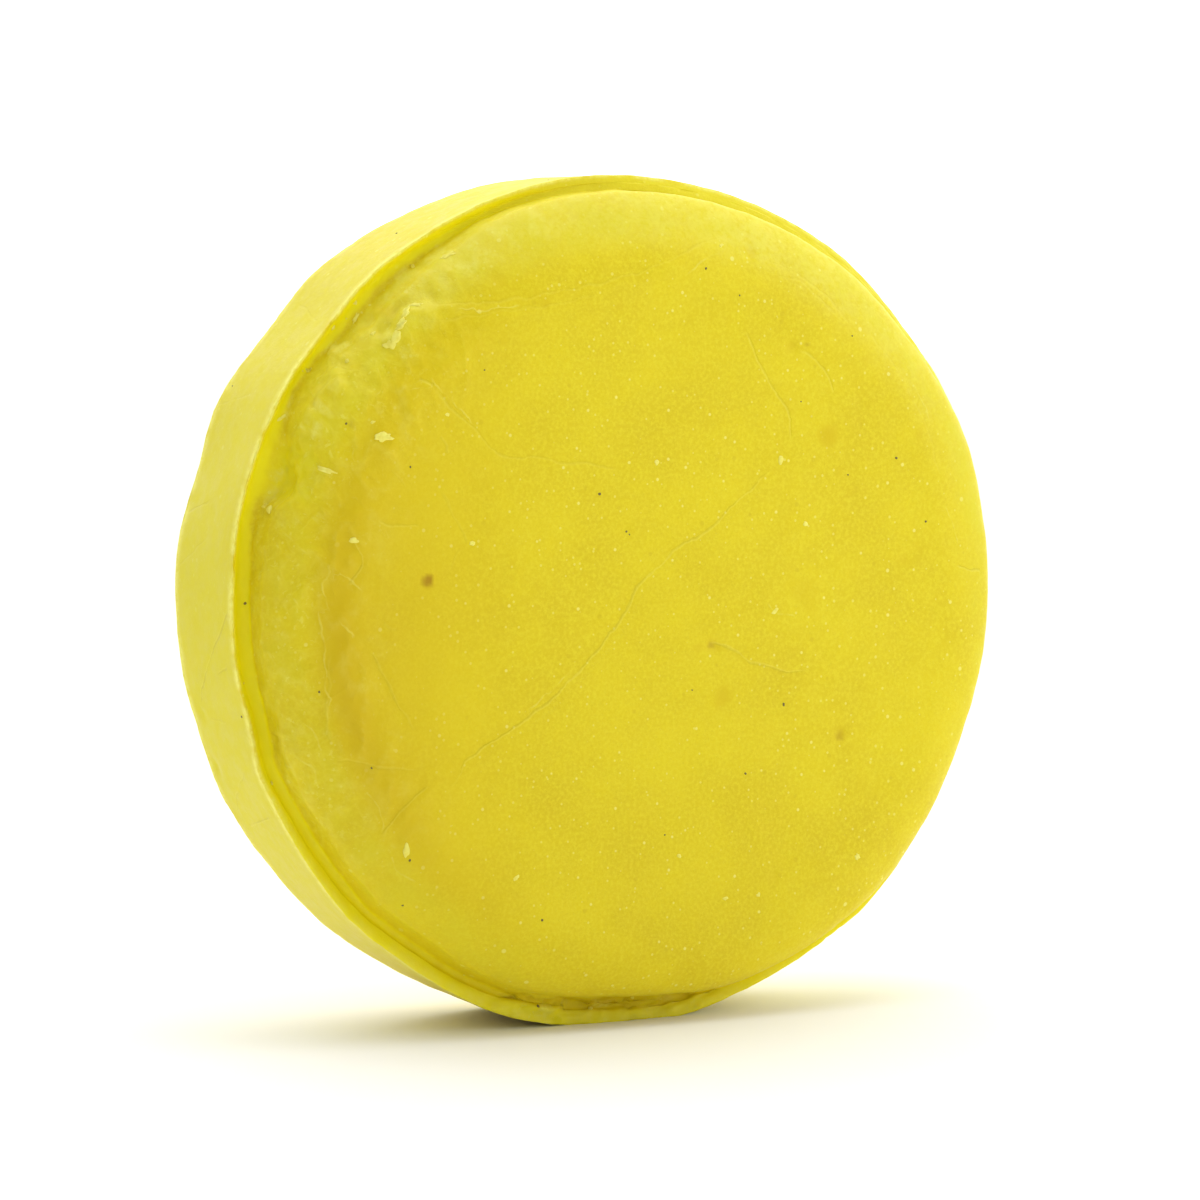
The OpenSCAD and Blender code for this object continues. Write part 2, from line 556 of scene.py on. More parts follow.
LINES = dict(
    fold=[
        (-19.7, 18.1), (-19.1, 18.8), (-18.4, 19.5), (-18.0, 20.3), (-17.1, 20.8),
        (-15.4, 20.8), (-12.9, 21.0), (-9.9, 21.3), (-6.8, 21.8), (-3.7, 22.4),
        (-0.6, 23.2), (2.2, 24.2), (4.3, 25.2), (6.3, 25.8), (7.8, 26.0),
    ],
    fold_low=[(-17.2, 19.7), (-14.7, 19.9), (-11.4, 20.4), (-7.2, 21.0), (-4.1, 21.6)],
    arc_top=[(8.5, 24.1), (10.8, 23.6), (13.0, 22.5), (14.9, 21.0), (16.4, 19.4)],
    arc_top_low=[(10.0, 23.0), (12.1, 22.4), (13.9, 21.2), (15.2, 20.0)],
    arc_right=[(17.7, 19.1), (19.8, 16.8), (21.5, 14.0), (22.9, 11.1), (23.8, 8.2)],
    crack_right=[(7.4, 19.2), (8.6, 16.6), (10.0, 14.6), (11.0, 13.3), (11.3, 11.1)],
    crack_far=[(11.8, 17.9), (12.9, 17.2), (13.8, 16.4), (14.8, 14.6)],
    crack=[
        (10.3, 9.7), (8.4, 8.4), (6.5, 6.9), (4.8, 5.4), (3.0, 4.5), (1.6, 3.7),
        (0.2, 2.5), (-0.9, 1.7), (-1.6, 0.6), (-2.4, -0.7), (-3.5, -2.1),
        (-4.4, -3.1), (-6.1, -4.7), (-7.8, -6.2), (-9.7, -7.5), (-11.9, -8.8),
        (-14.2, -10.1), (-15.1, -11.3), (-16.0, -12.5),
    ],
    arc_left=[
        (-17.0, 15.6), (-15.2, 13.8), (-13.5, 12.1), (-11.8, 10.8), (-10.3, 10.4),
        (-8.4, 10.3), (-6.5, 10.0), (-4.1, 9.8), (-2.4, 9.3),
    ],
    line_u=[(-19.9, 9.5), (-19.2, 8.9), (-18.6, 8.2)],
    line_t=[(-16.2, 8.1), (-15.5, 6.8), (-14.6, 5.3), (-14.3, 4.6)],
    line_t2=[(-14.7, 4.2), (-15.1, 3.7), (-15.6, 2.9)],
    crease_r=[(-20.8, 6.4), (-20.0, 6.1), (-18.9, 5.9), (-17.7, 5.8)],
    crease_s=[(-20.5, -0.7), (-20.0, -1.1), (-19.3, -1.3)],
    crease_o=[(-22.6, 5.0), (-22.0, 3.7), (-22.4, 2.7), (-22.9, 2.0)],
    crack_e=[(-17.8, 16.0), (-17.1, 15.6), (-16.6, 15.3)],
    crack_h=[(-16.2, 11.9), (-15.9, 11.3), (-15.6, 10.6)],
    fold_d=[(-19.8, 16.4), (-19.5, 15.3), (-19.1, 14.0), (-18.6, 12.9), (-18.0, 12.2)],
    scarp_a=[
        (-24.6, 13.7), (-24.4, 14.3), (-23.9, 15.1), (-23.5, 15.8), (-23.1, 16.3),
        (-22.6, 16.6), (-22.0, 16.4),
    ],
    scarp_k=[
        (-25.9, 10.4), (-26.2, 9.8), (-26.5, 8.6), (-26.9, 8.0), (-27.2, 7.6),
        (-27.4, 7.0), (-27.5, 6.4),
    ],
    fold_l=[(-24.6, 2.9), (-26.0, 2.3), (-26.9, 1.4), (-27.5, 0.4)],
    crease_p=[(-28.2, 2.9), (-28.0, 3.7), (-27.4, 4.0)],
    tear=[(4.3, -3.0), (5.4, -3.1), (6.6, -3.5), (7.9, -4.3), (9.9, -4.9), (12.5, -5.3)],
    side_a=[(-24.3, -2.6), (-24.3, -5.1), (-24.2, -7.8), (-23.9, -8.9)],
    side_b=[(-26.9, -7.8), (-26.5, -9.6), (-25.9, -11.3)],
    net_a=[(-23.8, -9.8), (-22.0, -10.2), (-19.8, -10.6), (-17.9, -10.8)],
    net_b=[(-17.2, -11.8), (-18.6, -12.9), (-19.7, -14.0), (-20.5, -15.2)],
    net_c=[(-21.5, -2.5), (-20.2, -4.6), (-19.3, -6.3), (-18.1, -8.1)],
    nick_right=[(25.1, 2.2), (26.3, 1.8), (27.5, 1.8)],
)
# thin pale threads and dried skin lying on the surface
THREADS = dict(
    t_c=[(-20.4, 17.2), (-20.4, 16.4), (-20.4, 15.4), (-20.7, 14.6)],
    t_e=[(-18.5, 14.7), (-17.9, 15.2), (-17.3, 15.3), (-16.5, 15.1)],
    t_j=[(-22.7, 11.5), (-22.3, 11.0), (-22.1, 10.3)],
    t_l1=[(-24.7, 3.5), (-24.3, 2.7), (-24.8, 2.0), (-24.6, 1.3), (-24.0, 0.3)],
    t_l2=[(-24.0, 3.2), (-23.3, 2.5), (-22.4, 1.7), (-21.7, 1.2)],
    t_m=[(-25.1, 0.8), (-24.8, -0.6), (-24.6, -2.1), (-24.4, -3.6), (-24.2, -5.7), (-24.2, -7.6)],
    t_n=[(-27.1, 5.7), (-26.3, 4.9), (-25.5, 4.1)],
    t_q=[(-28.0, -2.3), (-27.5, -3.3)],
    t_v=[(-26.5, 2.7), (-26.7, 1.8), (-26.2, 0.9)],
    t_w=[(-23.7, -0.2), (-23.2, -0.9), (-22.4, -1.6)],
    t_x=[(-25.0, 9.9), (-24.4, 9.7), (-23.7, 9.6), (-23.0, 9.3)],
    t_y=[(-21.6, -12.0), (-20.6, -13.4), (-20.4, -14.9)],
    t_z=[(-26.3, -9.2), (-25.0, -10.4), (-24.6, -12.0)],
    t_s1=[(-25.9, -7.4), (-24.9, -8.2), (-24.4, -9.4)],
    t_s2=[(-19.7, -16.4), (-19.0, -17.6), (-17.8, -18.4)],
    t_r1=[(24.0, 6.4), (24.9, 4.8), (25.2, 3.2)],
    t_r2=[(21.2, 15.6), (22.4, 13.6), (22.9, 12.4)],
    t_f1=[(-9.7, -7.0), (-7.7, -5.7), (-6.2, -4.2)],
    t_f2=[(9.0, -0.2), (10.4, -1.1), (11.6, -1.3)],
    t_f3=[(-17.2, 15.9), (-15.3, 14.2), (-13.8, 12.4)],
    t_f4=[(2.6, 22.8), (4.4, 23.9), (6.0, 24.3)],
    t_f5=[(-14.6, 20.4), (-12.3, 20.5), (-9.9, 20.7)],
)
# the same on the belt, as (angle, s)
BELT_LINES = dict(
    b_long=[
        (179.2, 4.6), (183.4, 2.4), (186.0, 0.9), (188.4, -0.6), (191.1, -1.9),
        (192.8, -3.0),
    ],
    b_branch=[(186.9, 3.6), (188.2, 1.6)],
    b_short=[(195.0, -1.8), (195.2, 1.4)],
    b_pale=[(174.5, -4.4), (172.4, -2.0), (170.3, 0.6)],
    b_up=[(167.3, -4.4), (166.4, -1.9), (165.7, -0.6)],
    b_high=[(152.6, -4.8), (151.7, -2.1), (150.7, 0.6)],
    b_low=[(211.0, -2.6), (208.3, 3.2)],
    b_hook=[(201.8, 2.2), (205.1, -0.8), (207.8, -2.7), (209.8, -3.4)],
    b_top=[(135.9, -2.9), (137.4, 0.4), (139.1, 2.8)],
    b_far=[(31, -3.5), (33.5, -1.0), (33.0, 1.4), (35.5, 3.6)],
    b_under=[(318, 3.2), (320.5, 0.6), (319.2, -1.8)],
    b_right=[(352, -3.6), (355.5, -1.2), (357.0, 2.0)],
    b_crown=[(84, 3.4), (87, 1.0), (86.2, -1.6), (88.4, -3.8)],
)
# cracks and creases of the back face
BACK_LINES = dict(
    k_one=[(-9.5, 12.2), (-7.0, 9.4), (-5.6, 6.0), (-2.8, 3.6), (-2.0, 0.4), (0.8, -2.6)],
    k_two=[(6.2, -8.8), (9.0, -7.4), (12.4, -8.0), (15.2, -6.6)],
    k_arc=[(-21.5, -10.6), (-19.2, -14.8), (-15.8, -18.4), (-11.2, -21.4), (-6.6, -22.6)],
    k_top=[(4.0, 24.6), (8.6, 23.4), (13.2, 21.2), (17.0, 18.0)],
    k_fine=[(14.0, 9.6), (16.4, 7.2), (17.0, 4.0)],
    k_low=[(-4.6, -13.0), (-1.2, -14.6), (2.4, -14.2)],
)


def curve(points, seed, step=0.35, wander=0.10):
    """The points joined by a smooth line with a little natural wander."""
    a = np.array(points, float)
    if len(a) > 2:
        e = np.vstack([2 * a[0] - a[1], a, 2 * a[-1] - a[-2]])
        out = []
        for k in range(1, len(e) - 2):
            p0, p1, p2, p3 = e[k - 1], e[k], e[k + 1], e[k + 2]
            m = max(2, int(np.linalg.norm(p2 - p1) / step))
            for i in range(m):
                t = i / m
                out.append(
                    0.5
                    * (
                        2 * p1
                        + (p2 - p0) * t
                        + (2 * p0 - 5 * p1 + 4 * p2 - p3) * t**2
                        + (3 * p1 - p0 - 3 * p2 + p3) * t**3
                    )
                )
        out.append(a[-1])
        a = np.array(out)
    rng = np.random.RandomState(seed)
    j = rng.normal(size=a.shape) * wander
    j = (j + np.roll(j, 1, 0) + np.roll(j, -1, 0)) / 2.2
    return a + j


def to_line(q, line, reach):
    """Signed distance of points q (n, 2) to a line, the distance, and how far along it, 0 to 1."""
    dist = np.full(len(q), 99.0)
    signed = np.full(len(q), 99.0)
    along = np.zeros(len(q))
    lo, hi = line.min(0) - reach, line.max(0) + reach
    near = np.nonzero(((q >= lo) & (q <= hi)).all(1))[0]
    if not len(near):
        return signed, dist, along
    x = q[near]
    seg = np.diff(line, axis=0)
    length = np.linalg.norm(seg, axis=1)
    start = np.concatenate([[0], np.cumsum(length)])
    best = np.full(len(x), 99.0)
    side = np.zeros(len(x))
    pos = np.zeros(len(x))
    for k in range(len(seg)):
        if length[k] < 1e-9:
            continue
        t = np.clip(((x - line[k]) @ seg[k]) / length[k] ** 2, 0, 1)
        v = x - (line[k] + t[:, None] * seg[k])
        d = np.linalg.norm(v, axis=1)
        c = seg[k][0] * v[:, 1] - seg[k][1] * v[:, 0]
        better = d < best
        best = np.where(better, d, best)
        side = np.where(better, np.sign(c) + (c == 0), side)
        pos = np.where(better, (start[k] + t * length[k]) / start[-1], pos)
    dist[near], signed[near], along[near] = best, best * side, pos
    return signed, dist, along


# ---------------------------------------------------------------- sculpting

Q = np.abs(PART)
IS_FRONT = (PART >= 0) & (Q < 5)
IS_BELT = (PART >= 5) & (PART < 6)
IS_BACK = PART < 0
W_FACE = 1 - ease(Q, 0.9, 1.35)
W_SHOULDER = ease(Q, 0.9, 1.25) * (1 - ease(Q, 2.6, 3.0))
W_GROOVE = ease(Q, 2.7, 3.15) * (1 - ease(Q, 3.85, 4.1))
W_LIP = ease(Q, 4.0, 4.3) * (1 - ease(Q, 4.92, 5.0) * IS_BELT)
W_BELT = ease(Q, 4.9, 5.08) * IS_BELT
ANG = np.radians(TH)
RING = np.stack([30 * np.cos(ANG), np.where(IS_BACK | (Q > 5.5), 40.0, 0.0), 30 * np.sin(ANG)], 1)
OUT = np.stack([np.cos(ANG), np.zeros_like(ANG), np.sin(ANG)], 1)
AXIAL = np.stack([0 * ANG, np.where(SS >= 0, -1.0, 1.0), 0 * ANG], 1)
XZ = np.stack([P[:, 0], P[:, 2]], 1)

# where the foot of the raised face is torn and crumbly: upper left
TORN = IS_FRONT * ease(TH % 360, 114, 126) * (1 - ease(TH % 360, 166, 176))
# where the shoulder is wrinkled: the left side
WRINKLED = IS_FRONT * ease(TH % 360, 118, 140) * (1 - ease(TH % 360, 205, 232)) * ease(RR, 18.5, 23.0)
# the chipped ledge at the bottom
CHIPPED = IS_FRONT * ease(TH % 360, 246, 256) * (1 - ease(TH % 360, 276, 288))
# the back has its own, milder, torn stretch
TORN_B = IS_BACK * ease(TH % 360, 20, 34) * (1 - ease(TH % 360, 58, 74))

move = np.zeros_like(P)
bump = np.zeros(len(P))

# slow undulation from the press, and fine unevenness
bump += W_FACE * (0.055 * fbm(P, 15, 1, 2) + 0.022 * fbm(P, 4.5, 3, 2) + 0.007 * fbm(P, 1.2, 5, 2))
bump += W_SHOULDER * (0.075 * fbm(P, 9, 11, 2) + 0.035 * fbm(P, 3, 13, 2) + 0.010 * fbm(P, 1.0, 15, 2))
bump += W_BELT * (0.055 * fbm(P, 10, 21, 2) + 0.030 * fbm(P, 3.4, 23, 2) + 0.009 * fbm(P, 1.1, 25, 2))
bump += W_GROOVE * 0.05 * fbm(P, 1.5, 31, 3)

# the lip is squeezed-out soap: uneven, with small nicks
smooth_side = np.maximum(1 - ease(TH % 360, 95, 115), ease(TH % 360, 318, 335)) * (~IS_BACK)
ragged = 0.09 * fbm(RING, 3.4, 41, 3) - 0.14 * ease(perlin(RING / 1.0, 47), 0.42, 0.75)
ragged = ragged * (1 - 0.75 * smooth_side)
ON_LIP = ease(Q, 4.0, 4.5) * ~IS_BELT
to_rim = np.where(IS_BELT, np.minimum(Q - 5, 6 - Q), 1.0)
move += AXIAL * (np.maximum(ON_LIP, IS_BELT * (1 - ease(to_rim, 0, 0.10))) * ragged)[:, None]
move += OUT * (np.maximum(ON_LIP, IS_BELT * (1 - ease(to_rim, 0, 0.20))) * 0.045 * fbm(RING, 1.7, 43, 3))[:, None]

# the foot of the raised face wanders a little all round
foot = ease(Q, 1.5, 2.3) * (1 - ease(Q, 3.05, 3.4)) * (~IS_BELT)
move += OUT * (foot * 0.07 * fbm(RING, 2.2, 51, 3))[:, None]

# torn, flaky foot
f1, f2, who = cells(P + 0.25 * np.stack([fbm(P, 0.9, 61 + k, 2) for k in range(3)], 1), 1.25, 67)
chips = (who - 0.5) * ease(f2 - f1, 0.02, 0.22)
torn = np.maximum(TORN, 0.8 * TORN_B)
low = ease(Q, 1.25, 1.9) * (1 - ease(Q, 3.1, 3.5))
bump += torn * low * (0.20 * chips + 0.10 * fbm(P, 2.2, 71, 3))
bump += torn * ease(Q, 3.0, 3.3) * (1 - ease(Q, 3.8, 4.0)) * (0.14 * chips + 0.08)
f1b, f2b, whob = cells(P + 0.2 * np.stack([fbm(P, 0.8, 81 + k, 2) for k in range(3)], 1), 0.9, 87)
flakes = (whob - 0.5) * ease(f2b - f1b, 0.02, 0.25)
bump += TORN * ease(Q, 1.0, 1.4) * (1 - ease(Q, 1.7, 2.1)) * 0.13 * flakes

# a hollow torn out of the foot, soft inside, with a ragged upper rim
wander = 0.8 * fbm(P, 1.4, 91, 3)
bite = (
    IS_FRONT
    * ease(TH + wander, 154.6, 157.6)
    * (1 - ease(TH + wander, 162.6, 165.8))
    * ease(Q + 0.10 * fbm(P, 1.0, 95, 3), 1.50, 1.95)
    * (1 - ease(Q, 3.1, 3.7))
)
move -= OUT * (bite * (0.55 + 0.10 * chips + 0.12 * fbm(P, 0.9, 97, 2)))[:, None]

# wrinkles of the left shoulder
ridge = 1 - np.abs(fbm(P * (1, 1, 0.55), 2.6, 101, 2))
ridge2 = 1 - np.abs(fbm(P * (1, 1, 0.7), 1.3, 105, 2))
bump += WRINKLED * (1 - ease(Q, 2.7, 3.0)) * (0.13 * (ridge**3 - 0.35) + 0.080 * (ridge2**3 - 0.35))

# a shallow hollow just inside the left shoulder
hollow = IS_FRONT * np.exp(-(((RR - 24.7 + 0.4 * fbm(P, 6, 121, 2)) / 1.3) ** 2)) * near_angle(TH, 187, 34)
bump -= 0.16 * hollow * (Q < 2.9)

# chips on the ledge at the bottom
f1c, f2c, whoc = cells(P * (0.6, 1, 1) + 0.5 * np.stack([fbm(P, 1.5, 111 + k, 3) for k in range(3)], 1), 1.7, 117)
slabs = (whoc - 0.5) * ease(f2c - f1c, 0.02, 0.16)
bump += CHIPPED * ease(Q, 2.0, 2.6) * (1 - 0.7 * ease(Q, 4.6, 5.0)) * (0.85 * slabs + 0.26 * flakes + 0.04)

# relief along the lines
SOFT = {
    # name: (side valley depth, its width, ridge height, its width)
    "fold": (0.06, 0.45, 0.05, 0.6),
    "fold_low": (0.05, 0.5, 0.04, 0.5),
    "arc_top": (0.03, 0.35, 0.03, 0.4),
    "arc_top_low": (0.03, 0.35, 0.02, 0.4),
    "arc_right": (0.03, 0.4, 0.03, 0.5),
    "crack": (0.03, 0.30, 0.012, 0.5),
    "tear": (0.05, 0.35, 0.02, 0.5),
    "side_a": (0.05, 0.4, 0.05, 0.5),
    "side_b": (0.09, 0.35, 0.06, 0.5),
    "net_a": (0.05, 0.4, 0.04, 0.5),
    "net_b": (0.08, 0.4, 0.07, 0.5),
    "net_c": (0.04, 0.4, 0.03, 0.5),
    "crease_o": (0.07, 0.3, 0.03, 0.4),
    "crease_r": (0.04, 0.3, 0.03, 0.4),
    "crease_s": (0.03, 0.4, 0.0, 0.4),
    "crack_e": (0.05, 0.3, 0.03, 0.4),
    "fold_d": (0.06, 0.5, 0.04, 0.6),
    "scarp_a": (0.16, 0.45, 0.13, 0.5),
    "scarp_k": (0.20, 0.45, 0.12, 0.5),
    "fold_l": (0.08, 0.5, 0.04, 0.6),
    "crease_p": (0.10, 0.4, 0.06, 0.4),
    "nick_right": (0.06, 0.3, 0.04, 0.4),
    "arc_left": (0.02, 0.3, 0.02, 0.4),
    "b_long": (0.05, 0.35, 0.03, 0.5),
    "b_low": (0.04, 0.35, 0.03, 0.5),
    "k_one": (0.03, 0.3, 0.015, 0.5),
    "k_arc": (0.06, 0.5, 0.05, 0.6),
    "k_top": (0.05, 0.5, 0.04, 0.5),
}
HAIR = {
    # name: how strongly the hairline shows, and its layer
    "crack": 0.75, "tear": 0.7, "crack_right": 0.6, "crack_far": 0.6, "fold": 0.35,
    "fold_low": 0.25, "arc_top": 0.3, "arc_top_low": 0.25, "arc_right": 0.2,
    "arc_left": 0.4, "line_u": 0.25, "line_t": 0.3, "line_t2": 0.2, "crease_r": 0.5, "crease_s": 0.25,
    "crack_e": 0.7, "crack_h": 0.5, "fold_d": 0.15, "scarp_a": 0.45, "scarp_k": 0.45, "fold_l": 0.15, "crease_p": 0.3,
    "side_a": 0.35,
    "side_b": 0.8, "net_a": 0.4, "net_b": 0.6, "net_c": 0.4, "crease_o": 0.7,
    "nick_right": 0.8, "b_long": 0.8, "b_branch": 0.6, "b_short": 0.4,
    "b_pale": 0.3, "b_up": 0.5, "b_high": 0.3, "b_low": 0.7, "b_hook": 0.4,
    "b_top": 0.3, "b_far": 0.5, "b_under": 0.4, "b_right": 0.4, "b_crown": 0.4,
    "k_one": 0.8, "k_two": 0.6, "k_arc": 0.3, "k_top": 0.3, "k_fine": 0.5,
    "k_low": 0.6,
}
SECOND = {"crack_far", "fold_low", "arc_top_low", "b_branch", "net_b", "net_c", "crease_r", "fold_d", "crack_e"}

hair_d = [np.full(len(P), 1.0), np.full(len(P), 1.0)]
hair_w = [np.zeros(len(P)), np.zeros(len(P))]
UNROLLED = np.stack([ANG * 30.0, SS], 1)
for group, coords, where in (
    (LINES, XZ, IS_FRONT & (Q < 3)),
    (BELT_LINES, UNROLLED, IS_BELT),
    (BACK_LINES, XZ, IS_BACK & (Q < 3)),
):
    for k, (name, points) in enumerate(group.items()):
        a = np.array(points, float)
        if group is BELT_LINES:
            a[:, 0] = np.radians(a[:, 0]) * 30.0
        line = curve(a, 200 + k)
        idx = np.nonzero(where)[0]
        q = coords[idx]
        if group is BELT_LINES:
            turn = 2 * math.pi * 30.0
            q = q.copy()
            q[:, 0] = line[:, 0].mean() + (q[:, 0] - line[:, 0].mean() + turn / 2) % turn - turn / 2
        signed, dist, along = to_line(q, line, 3.0)
        if group is LINES or group is BACK_LINES:
            # positive is the side away from the axis
            mid = line[len(line) // 2]
            seg = line[len(line) // 2 + 1] - line[len(line) // 2 - 1]
            if seg[0] * mid[1] - seg[1] * mid[0] < 0:
                signed = -signed
        fade = ease(along, 0.0, 0.10) * (1 - ease(along, 0.90, 1.0))
        if name in SOFT:
            dv, wv, hr, wr = SOFT[name]
            shape = -dv * np.exp(-(((signed - 0.15) / wv) ** 2)) + hr * np.exp(
                -(((signed + 0.5 * wr + 0.2) / wr) ** 2)
            )
            bump[idx] += np.where(dist < 2.5, shape * fade, 0)
        if name == "fold":
            # the left end is a real torn fold: an open gap with a raised inner edge
            end = 1 - ease(along, 0.08, 0.22)
            gap = -0.30 * np.exp(-(((signed - 0.50) / 0.30) ** 2))
            lip_up = 0.22 * np.exp(-(((signed + 0.20) / 0.32) ** 2))
            bump[idx] += np.where(dist < 2.5, end * ease(along, 0, 0.02) * (gap + lip_up), 0)
        if name in HAIR:
            layer = 1 if name in SECOND else 0
            w = HAIR[name] * fade * (1 - ease(dist, 0.45, 0.8))
            use = w > hair_w[layer][idx]
            sub = idx[use]
            hair_w[layer][sub] = w[use]
            hair_d[layer][sub] = signed[use]

# threads: their own layer, standing a little proud
thread_d = np.full(len(P), 1.0)
thread_w = np.zeros(len(P))
idx = np.nonzero(IS_FRONT & (Q < 3))[0]
for k, (name, points) in enumerate(THREADS.items()):
    line = curve(points, 260 + k, wander=0.14)
    signed, dist, along = to_line(XZ[idx], line, 1.2)
    w = ease(along, 0.0, 0.12) * (1 - ease(along, 0.88, 1.0)) * (1 - ease(dist, 0.45, 0.8))
    use = w > thread_w[idx]
    sub = idx[use]
    thread_w[sub] = w[use]
    thread_d[sub] = signed[use]
    bump[idx] += 0.020 * w * np.exp(-((dist / 0.25) ** 2))

# small pits: x, z, radius, depth
for x, z, rad, deep in [
    (4.9, -3.1, 0.42, 0.16), (15.3, -9.8, 0.40, 0.14), (-17.1, 2.1, 0.42, 0.03),
    (5.6, -6.7, 0.5, 0.03), (11.2, 17.8, 0.35, 0.12), (-2.0, 5.1, 0.28, 0.10),
    (13.9, -4.1, 0.25, 0.09), (16.9, 13.9, 0.30, 0.10), (-11.6, 22.6, 0.5, 0.08),
    (8.2, 24.6, 0.45, 0.14), (-19.3, -15.0, 0.6, 0.10), (-14.8, -20.6, 0.7, 0.06),
    (9.8, -19.6, 0.35, 0.08), (-12.9, -9.4, 0.35, 0.07), (20.6, 2.6, 0.3, 0.06),
]:
    d = np.hypot(XZ[:, 0] - x, XZ[:, 1] - z)
    bump -= np.where(IS_FRONT & (Q < 2), deep * np.exp(-((d / rad) ** 2)), 0)
rng = np.random.RandomState(7)
for k in range(16):
    a, rr_ = rng.rand() * 6.283, 23.5 * math.sqrt(rng.rand())
    d = np.hypot(XZ[:, 0] - rr_ * math.cos(a), XZ[:, 1] - rr_ * math.sin(a))
    bump -= np.where(IS_BACK & (Q < 2), (0.05 + 0.10 * rng.rand()) * np.exp(-((d / (0.4 + 0.3 * rng.rand())) ** 2)), 0)
for a, s_, rad, deep in [
    (194.5, -2.9, 0.40, 0.16), (202.0, -3.6, 0.60, 0.22), (167.2, 0.5, 0.35, 0.12),
    (149.8, -4.2, 0.4, 0.10), (36, 1.5, 0.5, 0.14), (300, -1.5, 0.45, 0.12), (74, 0.8, 0.4, 0.10),
]:
    u = ((TH - a + 180) % 360 - 180) * math.pi / 180 * 30
    bump -= np.where(IS_BELT, deep * np.exp(-((u / rad) ** 2 + ((SS - s_) / rad) ** 2)), 0)

BODY = P + move + NRM * bump[:, None]
BODY[:, 2] += AXIS_Z
BODY[:, 2] = np.maximum(BODY[:, 2], 0.0)

# ---------------------------------------------------------------- masks for the material


def spot(x, z, rad, where, soft=0.5):
    d = np.hypot(XZ[:, 0] - x, XZ[:, 1] - z) + 0.25 * rad * fbm(P, rad * 1.5, 301, 2)
    return where * (1 - ease(d, rad * (1 - soft), rad))


on_front = (IS_FRONT & (Q < 2.9)).astype(float)
on_back = (IS_BACK & (Q < 2.9)).astype(float)
AMBER_AND_SHADE = np.zeros(len(P))
for x, z, rad, amount in [
    (14.2, 11.6, 1.25, 0.9), (-17.2, 1.9, 1.5, 0.75), (5.6, -6.7, 1.1, 0.7), (12.2, 0.6, 1.6, 0.35),
    (4.8, -3.0, 0.8, 0.6), (15.3, -9.8, 0.8, 0.5), (-18.9, 20.4, 0.8, 0.5),
    (8.3, 24.5, 0.55, 0.7), (-11.6, 22.6, 0.9, 0.35), (11.3, 18.0, 0.6, 0.5),
    (-8.2, 20.9, 0.5, 0.6), (-2.5, 20.7, 0.5, 0.5), (19.8, -1.0, 0.8, 0.3),
    (-22.6, -8.6, 1.2, 0.4), (-22.0, 1.0, 1.4, 0.4), (8.6, 3.5, 0.4, 0.4),
    (20.6, 2.6, 0.6, 0.4), (3.6, -3.2, 0.45, 0.5), (-20.9, 13.5, 1.0, 0.4),
    (9.6, -19.9, 0.8, 0.35), (21.9, 11.6, 0.5, 0.5), (17.5, 17.0, 0.45, 0.5),
]:
    AMBER_AND_SHADE = np.maximum(AMBER_AND_SHADE, amount * spot(x, z, rad, on_front, 0.8))
rng = np.random.RandomState(11)
for k in range(14):
    a, rr_ = rng.rand() * 6.283, 24.0 * math.sqrt(rng.rand())
    AMBER_AND_SHADE = np.maximum(
        AMBER_AND_SHADE,
        (0.3 + 0.4 * rng.rand())
        * spot(rr_ * math.cos(a), rr_ * math.sin(a), 0.5 + 0.8 * rng.rand(), on_back, 0.8),
    )
# painted shade: the left of the face and the left shoulder a darker, richer yellow
AMBER_AND_SHADE = np.maximum(
    AMBER_AND_SHADE,
    on_front
    * (1 - ease(RR, 24.2, 26.4))
    * (0.48 * ease(-P[:, 0], 6, 19) + 0.45 * near_angle(TH, 187, 30) * np.exp(-(((RR - 23.4) / 1.5) ** 2))),
)
# painted shade: darker and more orange under the raised face
UNDER_SHADE = IS_FRONT * near_angle(TH, 268, 34) * ease(Q, 2.1, 2.7) * (1 - ease(Q, 3.9, 4.4))
AMBER_AND_SHADE = np.maximum(AMBER_AND_SHADE, 0.85 * UNDER_SHADE * (0.7 + 0.3 * ease(fbm(P, 1.6, 351, 3), -0.4, 0.4)))
# painted shade: darker and more orange on the belt near the foot, by the floor
AMBER_AND_SHADE = np.maximum(AMBER_AND_SHADE, 0.9 * near_angle(TH, 264, 26) * np.where(IS_BELT, ease(to_rim, 0.05, 0.2), 0))
BROWN_AND_SHADE = np.zeros(len(P))
for x, z, rad, amount in [
    (-17.1, 2.1, 0.60, 1.0), (15.3, -9.9, 0.45, 0.45), (4.75, -3.0, 0.35, 0.5),
    (12.4, 18.0, 0.3, 0.4), (-22.4, 12.7, 0.4, 0.35),
]:
    BROWN_AND_SHADE = np.maximum(BROWN_AND_SHADE, amount * spot(x, z, rad, on_front, 0.7))
# painted shade: the lower left of the face and a band along the left shoulder darkened
left_shade = 0.10 * ease(-P[:, 0], 13, 21) * (1 - ease(P[:, 2], 5, 15))
left_shade = left_shade + 0.12 * near_angle(TH, 189, 26) * np.exp(-(((RR - 23.6) / 1.3) ** 2))
BROWN_AND_SHADE = np.maximum(BROWN_AND_SHADE, on_front * left_shade)
for x, z, rad, amount in [(9.4, 4.0, 0.5, 0.8), (-12.6, -4.8, 0.4, 0.5)]:
    BROWN_AND_SHADE = np.maximum(BROWN_AND_SHADE, amount * spot(x, z, rad, on_back, 0.7))
